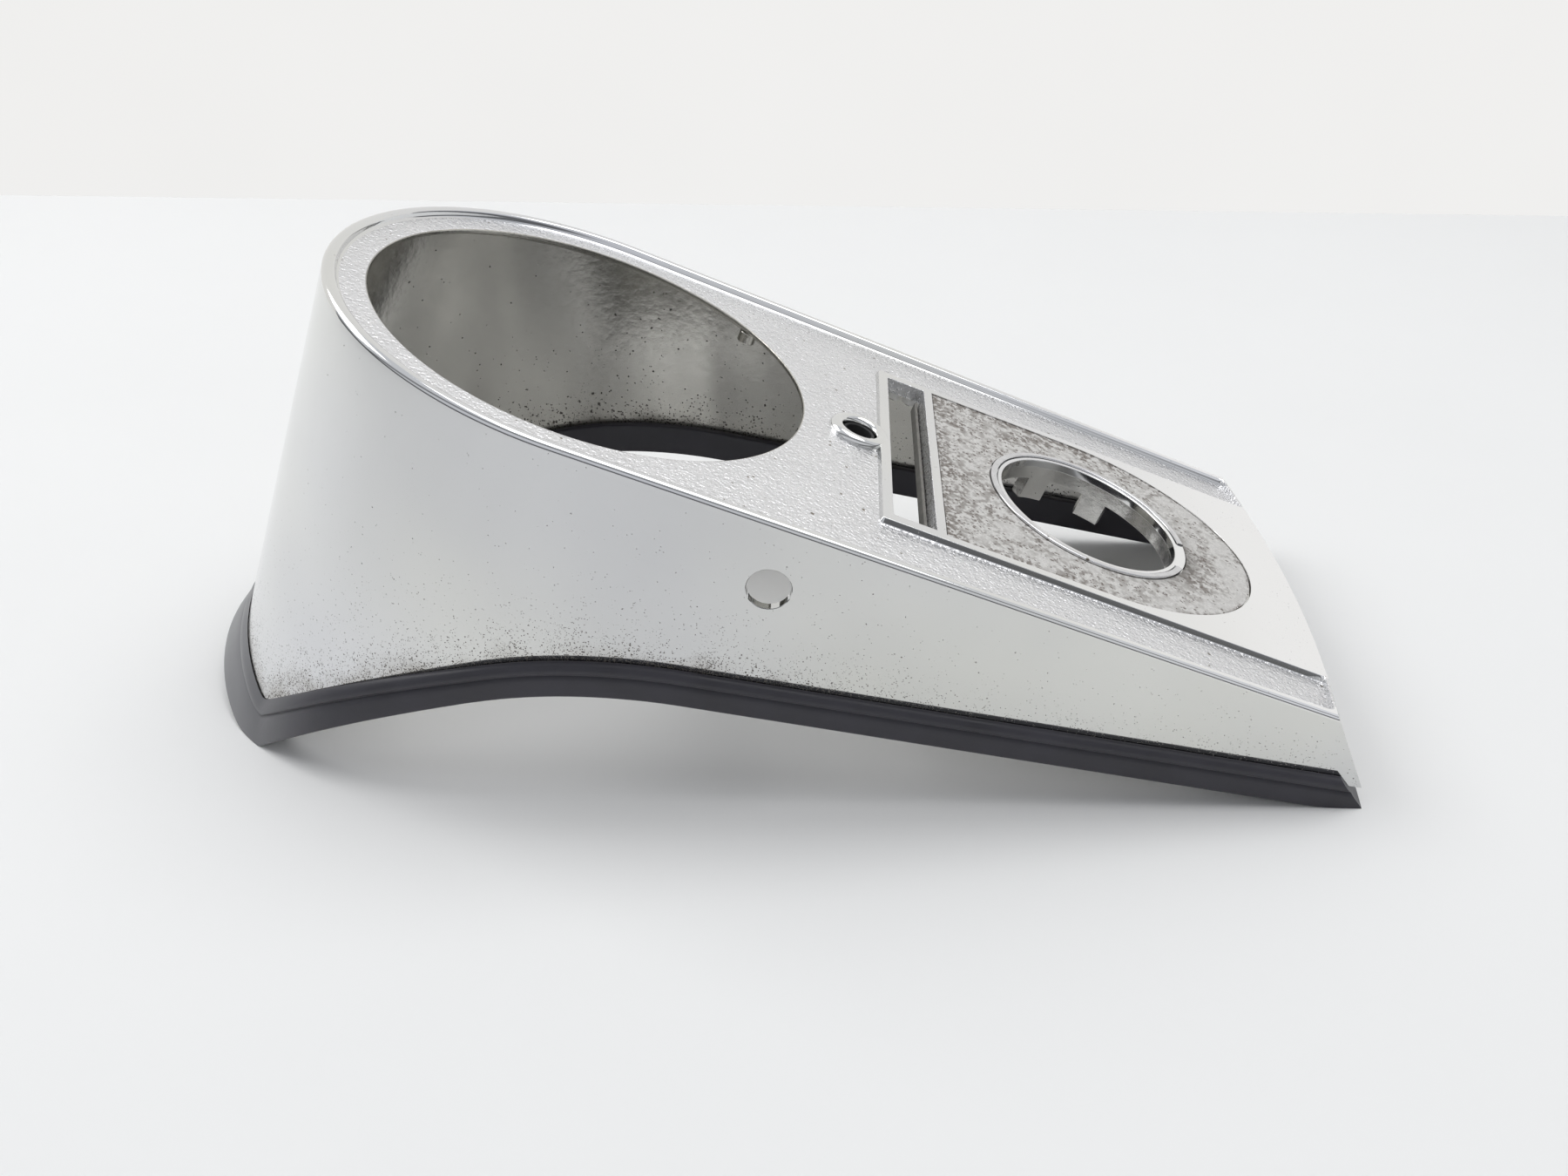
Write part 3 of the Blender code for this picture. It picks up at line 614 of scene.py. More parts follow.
def slot_row(p, grow, height):
    """The lamp slot's outline in the island's columns: right side, front, left side."""
    r = SLOT_CORNER
    turn = np.linspace(math.pi, math.pi / 2, STEPS_CORNER + 1)
    u = p.slot_u + r + (r + grow) * np.cos(turn)
    v = p.slot_half - r + (r + grow) * np.sin(turn)
    side = np.linspace(p.slot_u + r, p.slot_rear + grow, STEPS_SLOT - STEPS_CORNER + 1)[1:]
    half = np.concatenate([v, np.full(len(side), p.slot_half + grow)])
    right = deck_points(np.concatenate([u, side]), half, height)
    left = right * MIRROR
    front = line(right[0], left[0], STEPS_FRONT)
    rear = line(left[-1], right[-1], STEPS_FRONT)
    return np.concatenate([right[::-1], front, left, rear])


def recess_loop(p, around, grow, height):
    """The inlay's outline from each point around it: square in front, half ellipse behind."""
    u, v = around[:, 0], around[:, 1]
    half, reach = p.inlay_half + grow, p.inlay_reach + grow
    turn = np.arctan2(v, u - p.switch_u)
    radius = 1 / np.hypot(np.cos(turn) / reach, np.sin(turn) / half)
    front = u < p.inlay_u - 0.0003
    limit = np.abs(v[front]).max()
    flat_u = np.where(front, p.inlay_u - grow, np.maximum(u, p.inlay_u - grow))
    flat_v = np.where(front, v / limit * half, np.sign(v) * half)
    ahead = u < p.switch_u
    return deck_points(
        np.where(ahead, flat_u, p.switch_u + radius * np.cos(turn)),
        np.where(ahead, flat_v, radius * np.sin(turn)),
        height,
    )


def round_hole(around, u, v, radius, height):
    """A circle seen from each point around it."""
    turn = np.arctan2(around[:, 1] - v, around[:, 0] - u)
    return deck_points(u + radius * np.cos(turn), v + radius * np.sin(turn), height)


def add_flank(sheet, p, c, grid, rows, finish):
    """A side wall's grid, with the round hole let into its left side.

    A block of the grid is left out and filled with a ruled ring from its border to the hole.
    """
    first, last = rows
    near, far = c.left.a, c.left.a + HOLE_COLUMNS
    sheet.add(grid[: first + 1], finish)
    sheet.add(grid[last:], finish)
    sheet.add(grid[first : last + 1, : near + 1], finish)
    sheet.add(grid[first : last + 1, far:], finish)
    block = grid[first : last + 1, near : far + 1]
    border = np.concatenate([block[0, :-1], block[:-1, -1], block[-1, :0:-1], block[:0:-1, 0]])
    side = (p.nose - p.hole_setback * math.sin(p.taper)) / math.cos(p.taper)
    along = np.array((math.cos(p.taper), math.sin(p.taper), 0.0))
    middle = np.array((p.hole_setback, -side, -p.hole_drop))
    out = np.array((math.sin(p.taper), -math.cos(p.taper), 0.0))
    depth = (border[0] - middle) @ out
    x, y = (border - middle) @ along, border[:, 2] + p.hole_drop
    turn = np.arctan2(y, x)[:, None]
    spoke = np.cos(turn) * along + np.sin(turn) * np.array((0.0, 0.0, 1.0))
    edge = middle + depth * out + (p.hole_radius + HOLE_SOFT) * spoke
    sheet.add(between(border, edge, 3), finish, closed=True)
    return edge - HOLE_SOFT * (spoke + np.sign(depth + p.wall / 2) * out), edge


def casting(p):
    """The casting as one closed skin: walls, bead, field, island, slot, recess and underside."""
    c = deck_columns(p)
    sheet = Patches()
    left, right = c.left, c.right
    under = -p.deck_thickness

    # Walls, outside and inside, with the flank hole and the rim that joins them below
    bead = bead_profile(p)
    share = np.linspace(0.0, 1.0, STEPS_WALL + 1)[:, None]
    low = edge_w(p, c, 0.0, p.tail)
    outer = outline_points(p, c, 0.0, bead[0, 1] + share * (low - bead[0, 1]), p.tail)
    low = edge_w(p, c, p.wall, p.tail)
    inner = outline_points(p, c, p.wall, under + share * (low - under), p.tail)
    hole_out, rim_out = add_flank(sheet, p, c, outer, HOLE_ROWS_OUT, POLISHED)
    hole_in, rim_in = add_flank(sheet, p, c, inner, HOLE_ROWS_IN, DULL)
    sheet.add(np.stack([rim_out, hole_out, hole_in, rim_in]), POLISHED, closed=True)
    sheet.add(between(outer[-1], inner[-1], 1), DULL)

    # Bead, whose inner side rises into the tail's border
    inset, height = bead[:, :1], bead[:, 1:]
    inside = (inset > p.shoulder_radius) * c.lift
    rim = outline_points(p, c, inset, height + inside * (p.bead_height - height), p.tail)
    sheet.add(rim, POLISHED)
    field = rim[-1]
    floor = inner[0]

    # Field round the instrument opening
    across = line(field[right.a], field[left.a], STEPS_FRONT)
    around = np.concatenate([field[left.a : right.a + 1], across])
    r = p.opening_radius
    edge = ((0.0004, 0), (0.00012, -0.00012), (0, -0.0004), (0, -0.0009))
    edge += ((0.0004, -0.0014), (0.0022, under))
    lip = [round_hole(around, 0, 0, r + e, w) for e, w in edge]
    sheet.add(between(around, lip[0], 8), STIPPLED, closed=True)
    sheet.add(np.stack(lip), DULL, closed=True)
    behind = line(floor[right.a], floor[left.a], STEPS_FRONT)
    below = np.concatenate([floor[left.a : right.a + 1], behind])
    sheet.add(between(lip[-1], below, 4), DULL, closed=True)

    # Island side, and the field in front of it round the eyelet
    profile = island_profile(p)
    side = np.stack([island_columns(p, c, e, w, p.island_height) for e, w in profile])
    sheet.add(side[: FOOT_STEPS - 1], STIPPLED)
    sheet.add(side[FOOT_STEPS - 2 :], POLISHED)
    half = STEPS_SLOT + STEPS_INLAY + STEPS_TAIL
    foot = side[0]
    front = foot[half : half + STEPS_FRONT + 1]
    around = np.concatenate(
        [
            field[left.a][None],
            across[::-1],
            field[right.a : right.i + 1],
            front,
            field[left.i : left.a],
        ]
    )
    stud = [round_hole(around, p.eyelet_u, 0, p.eyelet_bore + 0.0001, w) for w in (0.0, under)]
    sheet.add(between(around, stud[0], 5), STIPPLED, closed=True)
    sheet.add(np.stack(stud), DULL, closed=True)
    step = line(floor[right.i], floor[left.i], STEPS_FRONT + 2)
    below = np.concatenate(
        [
            floor[left.a][None],
            line(floor[left.a], floor[right.a], STEPS_FRONT),
            floor[right.a : right.i + 1],
            step,
            floor[left.i : left.a],
        ]
    )
    sheet.add(between(stud[1], below, 3), DULL, closed=True)

    # Field bands beside the island
    sheet.add(between(field[right.i :], foot[half::-1], 6), STIPPLED)
    sheet.add(between(field[left.i :: -1], foot[half + STEPS_FRONT :], 6), STIPPLED)

    # Island top in front of the bar, round the lamp slot
    top = side[-1]
    bar_right, bar_left = half - STEPS_SLOT, half + STEPS_FRONT + STEPS_SLOT
    bar = line(top[bar_left], top[bar_right], STEPS_FRONT)
    around = np.concatenate([top[bar_right : bar_left + 1], bar])
    h = p.island_height
    edge = ((0.00025, h), (0.00007, h - 0.00007), (0, h - 0.00025), (0, under))
    slot = [slot_row(p, e, w) for e, w in edge]
    sheet.add(between(around, slot[0], 2), POLISHED, closed=True)
    sheet.add(np.stack(slot), STIPPLED, closed=True)
    below = np.concatenate(
        [
            floor[right.b : right.i : -1],
            floor[right.i][None],
            step[1:-1],
            floor[left.i : left.b : -1],
            floor[left.b][None],
            line(floor[left.b], floor[right.b], STEPS_FRONT),
        ]
    )
    sheet.add(between(slot[-1], below, 2), DULL, closed=True)
    sheet.add(np.stack([floor[right.i][None], step[:1], step[1:2]]), DULL)
    sheet.add(np.stack([floor[left.i][None], step[-1:], step[-2:-1]]), DULL)

    # Island top behind the bar, its recess, and the switch hole
    tail_v = np.linspace(top[-1, 1], top[0, 1], STEPS_FRONT + 1)[1:-1]
    tail_line = deck_points(tail_reach(p, tail_v, h, p.tail), tail_v, h)
    around = np.concatenate([top[bar_left:], tail_line, top[: bar_right + 1], bar[::-1]])
    edge = ((0.0002, h), (0.00005, h - 0.00005), (0, h - 0.0002), (0, p.inlay_floor))
    recess = [recess_loop(p, around, e, w) for e, w in edge]
    sheet.add(between(around, recess[0], 3), POLISHED, closed=True)
    sheet.add(np.stack(recess), POLISHED, closed=True)
    r = p.switch_bore + 0.0005
    hole = [round_hole(recess[-1], p.switch_u, 0, r, w) for w in (p.inlay_floor, under)]
    sheet.add(between(recess[-1], hole[0], 2), POLISHED, closed=True)
    sheet.add(np.stack(hole), DULL, closed=True)
    under_line = line(floor[left.tail], floor[right.tail], STEPS_FRONT)
    bow = tail_end(p, p.wall, np.full(1, under), p.tail)[1]
    under_line[:, 0] += p.tail_bulge * ((bow**2 - under_line[:, 1] ** 2) / p.tail_half**2)
    below = np.concatenate(
        [
            floor[left.b :: -1],
            under_line,
            floor[right.tail : right.b : -1],
            floor[right.b][None],
            line(floor[right.b], floor[left.b], STEPS_FRONT),
        ]
    )
    sheet.add(between(hole[1], below, 3), DULL, closed=True)

    # Tail face, from the outer section to the inner one
    pole = [
        np.repeat(floor[end][None], len(rim) - 1 + len(side), 0) for end in (left.tail, right.tail)
    ]
    section = np.concatenate(
        [
            outer[::-1, 0],
            rim[1:, 0],
            side[:, -1],
            tail_line,
            side[::-1, 0],
            rim[:0:-1, -1],
            outer[:, -1],
        ]
    )
    partner = np.concatenate([inner[::-1, 0], pole[0], under_line, pole[1], inner[:, -1]])
    sheet.add(between(section, partner, 1), DULL)
    return sheet


def rail(front, rear, low, high, half, corner):
    """A straight bar across the deck: a rounded section of u and w carried from -half to half."""
    u, w = rounded_box(front, rear, low, high, corner, 2).T
    return np.stack([deck_points(u, v, w) for v in np.linspace(-half, half, 9)])


# ---------------------------------------------------------------- gasket


def gasket_section():
    """Offset outwards in millimetres and share of the height, down outside and up inside."""
    return np.array(
        (
            (0.2, 0.03), (0.55, 0.005), (1.1, 0.0), (1.75, 0.015), (2.35, 0.055), (2.75, 0.11),
            (2.95, 0.17), (2.98, 0.225), (2.85, 0.28), (2.5, 0.325), (2.2, 0.35), (2.2, 0.37),
            (2.45, 0.395), (2.7, 0.43), (2.85, 0.49), (2.9, 0.6), (2.95, 0.75), (3.0, 0.9),
            (2.9, 0.96), (2.65, 0.99), (2.3, 1.0), (-1.5, 1.0), (-4.9, 1.0), (-5.35, 0.985),
            (-5.5, 0.94), (-5.5, 0.5), (-5.5, 0.08), (-5.3, 0.025), (-4.8, 0.0), (-3.2, 0.0),
            (-2.75, 0.03), (-2.7, 0.2), (-2.7, 0.345), (-1.2, 0.345), (0.2, 0.345), (0.2, 0.2),
        )
    )


def gasket(p):
    """The rubber channel: its section along the lower edge, flared at the nose, flat below."""
    c = deck_columns(p)
    rows = []
    tall, nose_tall = p.gasket_lip + p.gasket_skirt, p.gasket_lip + p.gasket_nose
    levels = (0.0, 0.36, 1.0)
    flares = (-p.gasket_pinch, -p.gasket_waist, p.gasket_flare)
    for offset, share in gasket_section():
        flare = 0.0
        if offset > 0.3:
            weight = min(1.0, (offset - 0.2) / 2.0)
            flare = weight * float(np.interp(share, levels, flares))
        inset = -offset * (GASKET_OUT if offset > 0 else GASKET_IN)
        rise, nose_rise = p.gasket_lip - share * tall, p.gasket_lip - share * nose_tall
        w = edge_w(p, c, inset, p.gasket_tail, rise, nose_rise, p.floor, flare)
        rows.append(outline_points(p, c, inset, w, p.gasket_tail, flare))
    sheet = Patches()
    sheet.add(np.stack(rows), looped=True)
    return sheet


# ---------------------------------------------------------------- finishes


class Nodes:
    """A node tree under construction, with short calls for its nodes and links."""

    def __init__(self, tree):
        self.tree = tree

    def node(self, kind, **values):
        node = self.tree.nodes.new(kind)
        for key, value in values.items():
            setattr(node, key, value)
        return node

    def link(self, source, target):
        self.tree.links.new(source, target)

    def feed(self, value, socket):
        """Links another socket, or sets a number or a colour on the socket itself."""
        if isinstance(value, bpy.types.NodeSocket):
            self.link(value, socket)
        elif isinstance(value, (int, float)):
            socket.default_value = value
        else:
            socket.default_value = (*value, 1.0)

    def math(self, kind, *values, clamp=False):
        node = self.node("ShaderNodeMath", operation=kind, use_clamp=clamp)
        for value, socket in zip(values, node.inputs):
            self.feed(value, socket)
        return node.outputs[0]

    def vector(self, kind, first, second):
        """A vector scaled by a number, or added to another one."""
        node = self.node("ShaderNodeVectorMath", operation=kind)
        self.link(first, node.inputs[0])
        self.link(second, node.inputs["Scale" if kind == "SCALE" else 1])
        return node.outputs["Vector"]

    def span(self, value, low, high, start=0.0, end=1.0, shape="LINEAR"):
        """A value carried from one span to another."""
        node = self.node("ShaderNodeMapRange", interpolation_type=shape)
        keys = ("Value", "From Min", "From Max", "To Min", "To Max")
        for key, given in zip(keys, (value, start, end, low, high)):
            self.feed(given, node.inputs[key])
        return node.outputs["Result"]


class Finish(Nodes):
    """A material under construction round one shader."""

    def __init__(self, name):
        self.material = bpy.data.materials.new(name)
        self.material.use_nodes = True
        super().__init__(self.material.node_tree)
        self.tree.nodes.clear()
        self.out = self.node("ShaderNodeOutputMaterial")
        self.shader = self.node("ShaderNodeBsdfPrincipled")
        self.link(self.shader.outputs["BSDF"], self.out.inputs["Surface"])
        self.place = self.node("ShaderNodeTexCoord").outputs["Object"]

    def group(self, tree, **inputs):
        """Places a shared group; its inputs are values or other sockets."""
        node = self.node("ShaderNodeGroup", node_tree=tree)
        self.link(self.place, node.inputs["Place"])
        for key, value in inputs.items():
            self.feed(value, node.inputs[key])
        return node.outputs[0]

    def patches(self, scale, detail, contrast, warp=0.0):
        """Soft patches of the shared mottling."""
        tree = mottle_group()
        return self.group(tree, Scale=scale, Detail=detail, Contrast=contrast, Warp=warp)

    def pits(self, scale, amount, size, ragged=0.3):
        """Specks of the shared pitting."""
        tree = pitting_group()
        return self.group(tree, Scale=scale, Amount=amount, Size=size, Ragged=ragged)

    def mix(self, share, first, second):
        """Colour between two colours, or sockets, by a share."""
        node = self.node("ShaderNodeMix", data_type="RGBA")
        for index, value in ((0, share), (6, first), (7, second)):
            self.feed(value, node.inputs[index])
        return node.outputs[2]

    def bump(self, height, strength, distance):
        node = self.node("ShaderNodeBump")
        node.inputs["Strength"].default_value = strength
        node.inputs["Distance"].default_value = distance
        self.link(height, node.inputs["Height"])
        self.link(node.outputs["Normal"], self.shader.inputs["Normal"])

    def layer(self, name):
        """A value that is written on the mesh's points."""
        return self.node("ShaderNodeAttribute", attribute_name=name).outputs["Fac"]

    def along(self):
        """Place along the console's length, in metres."""
        node = self.node("ShaderNodeSeparateXYZ")
        self.link(self.place, node.inputs[0])
        return node.outputs["X"]

    def set(self, **values):
        """Feeds the shader's inputs, whose spaces are written as underscores."""
        for key, value in values.items():
            self.feed(value, self.shader.inputs[key.replace("_", " ")])


def shade(tone, factor, lift=0.0):
    """A colour times a factor, plus a lift."""
    return tuple(min(1.0, c * factor + lift) for c in tone)


def shared_group(name, inputs, output, fill):
    """The shader group of a name; on first use it is made, and fill gives its result."""
    tree = bpy.data.node_groups.get(name)
    if tree is None:
        tree = bpy.data.node_groups.new(name, "ShaderNodeTree")
        new = tree.interface.new_socket
        new("Place", in_out="INPUT", socket_type="NodeSocketVector")
        for key, value in inputs.items():
            new(key, in_out="INPUT", socket_type="NodeSocketFloat").default_value = value
        new(output, in_out="OUTPUT", socket_type="NodeSocketFloat")
        nodes = Nodes(tree)
        result = fill(nodes, nodes.node("NodeGroupInput").outputs)
        nodes.link(result, nodes.node("NodeGroupOutput").inputs[output])
    return tree


def pitting(g, given):
    """Specks of corrosion: cells whose chance is under the amount, dark near warped middles."""
    place = g.vector("SCALE", given["Place"], given["Scale"])
    tear = g.node("ShaderNodeTexNoise")
    g.link(place, tear.inputs["Vector"])
    g.feed(2.3, tear.inputs["Scale"])
    g.feed(1.0, tear.inputs["Detail"])
    torn = g.vector("SCALE", tear.outputs["Color"], given["Ragged"])
    cells = g.node("ShaderNodeTexVoronoi")
    g.feed(1.0, cells.inputs["Scale"])
    g.link(g.vector("ADD", place, torn), cells.inputs["Vector"])
    chance = g.node("ShaderNodeSeparateColor")
    g.link(cells.outputs["Color"], chance.inputs["Color"])
    chosen = g.math("LESS_THAN", chance.outputs[0], given["Amount"])
    reach = g.math("MULTIPLY", chance.outputs[1], given["Size"])
    core = g.math("MULTIPLY", reach, 0.55)
    speck = g.span(cells.outputs["Distance"], 1.0, 0.0, core, reach, "SMOOTHSTEP")
    return g.math("MULTIPLY", chosen, speck)


def pitting_group():
    inputs = {"Scale": 700.0, "Amount": 0.1, "Size": 0.35, "Ragged": 0.3}
    return shared_group("Pitting", inputs, "Pits", pitting)


def mottling(g, given):
    """Soft patches: layered noise, spread to the full range about its middle."""
    noise = g.node("ShaderNodeTexNoise")
    g.link(given["Place"], noise.inputs["Vector"])
    g.link(given["Scale"], noise.inputs["Scale"])
    g.link(given["Detail"], noise.inputs["Detail"])
    g.link(given["Warp"], noise.inputs["Distortion"])
    middle = g.math("SUBTRACT", noise.outputs["Fac"], 0.5)
    return g.math("MULTIPLY_ADD", middle, given["Contrast"], 0.5, clamp=True)


def mottle_group():
    inputs = {"Scale": 100.0, "Detail": 4.0, "Contrast": 2.0, "Warp": 0.0}
    return shared_group("Mottling", inputs, "Patches", mottling)


def polished_plating(colours):
    """Old polished chrome: a soft yellowish tint, darker clouds painted as reflected shade,
    painted light and shade along the length, faint waves, fine pits crowding the lower edge.
    """
    f = Finish("polished_plating")
    clouds = f.patches(15.0, 2.0, 2.4)
    tint = f.patches(11.0, 1.0, 2.6)
    haze = f.patches(160.0, 5.0, 1.8)
    blots = f.patches(90.0, 3.0, 2.6)
    wear, fresh = f.layer("edge_wear"), f.layer("fresh")
    patchy = f.math("MULTIPLY", wear, f.span(blots, 0.35, 1.3))
    fine = f.pits(3600.0, f.span(patchy, 0.001, 0.9), 0.85, 0.5)
    large = f.pits(2300.0, f.span(patchy, 0.0006, 0.34), 0.75, 0.6)
    pits = f.math("MULTIPLY", f.math("MAXIMUM", fine, large), f.span(wear, 0.55, 1.0, 0.0, 0.35))
    r, g, b = colours.plating
    base = f.mix(tint, (r, g, b), (r, g * 0.995, b * 0.93))
    # Painted reflection: darker clouds stand in for shade reflected in the plating
    base = f.mix(f.span(clouds, 0.4, 0.0), base, (r * 0.76, g * 0.76, b * 0.79))
    # Painted shade where the light layer is low, painted light towards white where it is high
    base = f.mix(f.span(fresh, 0.13, 0.0, 0.0, 0.4), base, (0.0, 0.0, 0.0))
    base = f.mix(f.span(fresh, 0.0, 0.85, 0.4, 1.0), base, (0.97, 0.97, 0.975))
    base = f.mix(f.span(patchy, 0.0, 0.6, 0.25, 1.1), base, shade(colours.pit, 2.2))
    f.set(
        Base_Color=f.mix(pits, base, colours.pit),
        Metallic=f.span(pits, 1.0, 0.1),
        Roughness=f.math("MAXIMUM", f.span(haze, 0.04, 0.12), f.span(pits, 0.0, 0.8)),
    )
    waves = f.patches(30.0, 1.0, 1.0)
    f.bump(f.math("SUBTRACT", waves, f.math("MULTIPLY", pits, 0.15)), 0.3, 0.0003)
    return f.material


def stippled_plating(colours):
    """Satin plating over a finely stippled casting that glitters in the grain."""
    f = Finish("stippled_plating")
    grain = f.patches(1150.0, 2.0, 2.6)
    coarse = f.patches(480.0, 2.0, 2.0)
    clouds = f.patches(40.0, 3.0, 1.6)
    pits = f.pits(900.0, 0.02, 0.6, 0.5)
    share = f.math("MULTIPLY", f.span(clouds, 0.3, 1.0), grain)
    base = f.mix(share, colours.field, shade(colours.field, 0.78))
    f.set(
        Base_Color=f.mix(pits, base, shade(colours.pit, 1.7)),
        Metallic=1.0,
        Roughness=f.span(grain, 0.2, 0.42),
    )
    f.bump(f.math("ADD", grain, f.math("MULTIPLY", coarse, 0.7)), 0.75, 0.0002)
    return f.material


def dull_casting(colours):
    """The casting's inside: thin plating over a rough skin, blotched and pitted, with upright
    light and dark streaks painted as reflections, painted shade towards the front and painted
    light towards the rear.
    """
    f = Finish("dull_casting")
    upright = f.node("ShaderNodeMapping")
    upright.inputs["Scale"].default_value = (1.0, 1.0, 0.22)
    f.link(f.place, upright.inputs["Vector"])
    streak = f.node("ShaderNodeTexNoise")
    for key, value in (("Scale", 34.0), ("Detail", 1.5), ("Distortion", 0.4)):
        streak.inputs[key].default_value = value
    f.link(upright.outputs["Vector"], streak.inputs["Vector"])
    clouds = f.patches(60.0, 5.0, 2.4, 0.6)
    skin = f.patches(420.0, 4.0, 1.8)
    patchy = f.math("MULTIPLY", f.layer("edge_wear"), f.span(clouds, 0.3, 1.3))
    fine = f.pits(2000.0, f.span(patchy, 0.006, 0.9), 0.85, 0.7)
    large = f.pits(1100.0, f.span(patchy, 0.002, 0.4), 0.8, 0.7)
    pits = f.math("MAXIMUM", fine, large)
    # Painted reflections: upright streaks between a darker and a lighter copy of the inside colour
    dark, light = shade(colours.inside, 0.72), shade(colours.inside, 1.4)
    base = f.mix(f.span(streak.outputs["Fac"], 0.0, 1.0, 0.36, 0.62), dark, light)
    base = f.mix(f.span(clouds, 0.0, 0.5), base, colours.inside)
    base = f.mix(f.span(patchy, 0.0, 0.6, 0.2, 1.0), base, shade(colours.pit, 1.4))
    along = f.along()
    # Painted shade darkens the inside towards the front, painted light lifts it towards the rear
    base = f.mix(f.span(along, 0.14, 0.0, -0.05, -0.005), base, (0.0, 0.0, 0.0))
    base = f.mix(f.span(along, 0.0, 0.6, 0.03, 0.085), base, (0.9, 0.89, 0.87))
    f.set(
        Base_Color=f.mix(pits, base, shade(colours.pit, 0.35)),
        Metallic=f.span(pits, 0.95, 0.1),
        Roughness=f.math("MAXIMUM", f.span(skin, 0.16, 0.28), f.span(patchy, 0.0, 0.6)),
    )
    f.bump(skin, 0.15, 0.0003)
    return f.material


def gasket_rubber(colours):
    """Satin rubber with a dusty bloom and fine scuffs, faded towards the nose."""
    f = Finish("gasket_rubber")
    bloom = f.patches(70.0, 5.0, 1.8)
    grain = f.patches(1800.0, 2.0, 1.6)
    nose = f.span(f.along(), 1.0, 0.0, -0.142, -0.1)
    base = f.mix(bloom, colours.gasket, shade(colours.gasket, 1.9, 0.006))
    f.set(
        Base_Color=f.mix(f.math("MULTIPLY", nose, nose), base, colours.gasket_faded),
        Roughness=f.span(bloom, 0.36, 0.55),
        Specular_IOR_Level=0.5,
        Sheen_Weight=0.12,
        Sheen_Roughness=0.4,
    )
    f.bump(grain, 0.12, 0.0001)
    return f.material


def weathered_inlay(colours):
    """Corroded plate: pale bloom eaten by fine brown specks that gather at edges and key."""
    f = Finish("weathered_inlay")
    stain, bare = f.layer("stain"), f.layer("bare")
    patch = f.patches(130.0, 4.0, 3.6, 0.6)
    speck = f.patches(520.0, 5.0, 4.2, 0.3)
    crust = f.patches(1900.0, 2.0, 2.6)
    clump = f.math("ADD", f.math("MULTIPLY", patch, 0.7), f.math("MULTIPLY", stain, 0.8))
    pits = f.pits(1250.0, f.span(clump, 0.02, 0.8), 0.9, 0.9)
    eaten = f.math("MULTIPLY", f.span(speck, 0.0, 1.0, 0.25, 0.8), f.span(clump, 0.18, 1.2))
    base = f.mix(crust, shade(colours.inlay_pale, 0.78), colours.inlay_pale)
    base = f.mix(eaten, base, colours.inlay_grey)
    base = f.mix(f.math("MULTIPLY", pits, 0.85), base, colours.inlay_brown)
    worn = f.math("MULTIPLY", bare, f.span(speck, 0.6, 1.0))
    base = f.mix(worn, base, shade(colours.inlay_grey, 0.62))
    f.set(Base_Color=base, Metallic=f.span(bare, 0.0, 0.6), Roughness=f.span(speck, 0.75, 0.45))
    hollow = f.math("ADD", eaten, pits)
    f.bump(f.math("SUBTRACT", f.math("MULTIPLY", crust, 0.4), hollow), 0.4, 0.00015)
    return f.material


def bright_trim(colours, name, tone, roughness):
    """Small polished trim with hairline haze and a few pits."""
    f = Finish(name)
    haze = f.patches(300.0, 5.0, 2.0)
    pits = f.pits(800.0, 0.05, 0.6)
    base = f.mix(haze, tone, shade(tone, 0.85))
    f.set(
        Base_Color=f.mix(pits, base, colours.pit),
        Metallic=1.0,
        Roughness=f.span(haze, roughness, roughness + 0.14),
    )
    f.bump(haze, 0.08, 0.0001)
    return f.material


def soft_plain(name, tone, low, high, scale):
    """Dusty rubber, foam or nylon: two tones in fine patches with a matching grain."""
    f = Finish(name)
    dust = f.patches(scale, 5.0, 2.0)
    grain = f.patches(scale * 5, 3.0, 2.0)
    f.set(
        Base_Color=f.mix(dust, tone, shade(tone, 1.35, 0.01)),
        Roughness=f.span(grain, low, high),
    )
    f.bump(grain, 0.25, 0.00015)
    return f.material


def table_top(colours):
    """Pale table with a faint haze."""
    f = Finish("table_top")
    haze = f.patches(9.0, 6.0, 1.2)
    base = f.mix(haze, colours.table, shade(colours.table, 0.975))
    f.set(Base_Color=base, Roughness=0.62, Specular_IOR_Level=0.3)
    return f.material


def wall_paint(colours):
    """Plain pale wall, seen at its own colour by the eye and in the metal."""
    f = Finish("wall_paint")
    haze = f.patches(4.0, 4.0, 1.0)
    paint = f.mix(haze, colours.backdrop, shade(colours.backdrop, 0.97))
    f.set(Base_Color=paint, Roughness=0.9, Specular_IOR_Level=0.1)
    glow = f.node("ShaderNodeEmission")
    f.link(paint, glow.inputs["Color"])
    path = f.node("ShaderNodeLightPath").outputs
    seen = f.math("MAXIMUM", path["Is Camera Ray"], path["Is Glossy Ray"])
    seen = f.math("MAXIMUM", seen, path["Is Transmission Ray"])
    both = f.node("ShaderNodeMixShader")
    f.link(seen, both.inputs[0])
    f.link(f.shader.outputs["BSDF"], both.inputs[1])
    f.link(glow.outputs["Emission"], both.inputs[2])
    f.link(both.outputs["Shader"], f.out.inputs["Surface"])
    return f.material


def mesh_points(piece):
    """The points of a piece, from the deck's origin."""
    mesh = piece.data
    points = np.empty(len(mesh.vertices) * 3, np.float32)
    mesh.vertices.foreach_get("co", points)
    return points.reshape(-1, 3) - DECK_ORIGIN


def write_layers(piece, **layers):
    """Writes a value per point under each name, for the finishes."""
    for name, values in layers.items():
        layer = piece.data.attributes.new(name, "FLOAT", "POINT")
        layer.data.foreach_set("value", values.astype(np.float32))


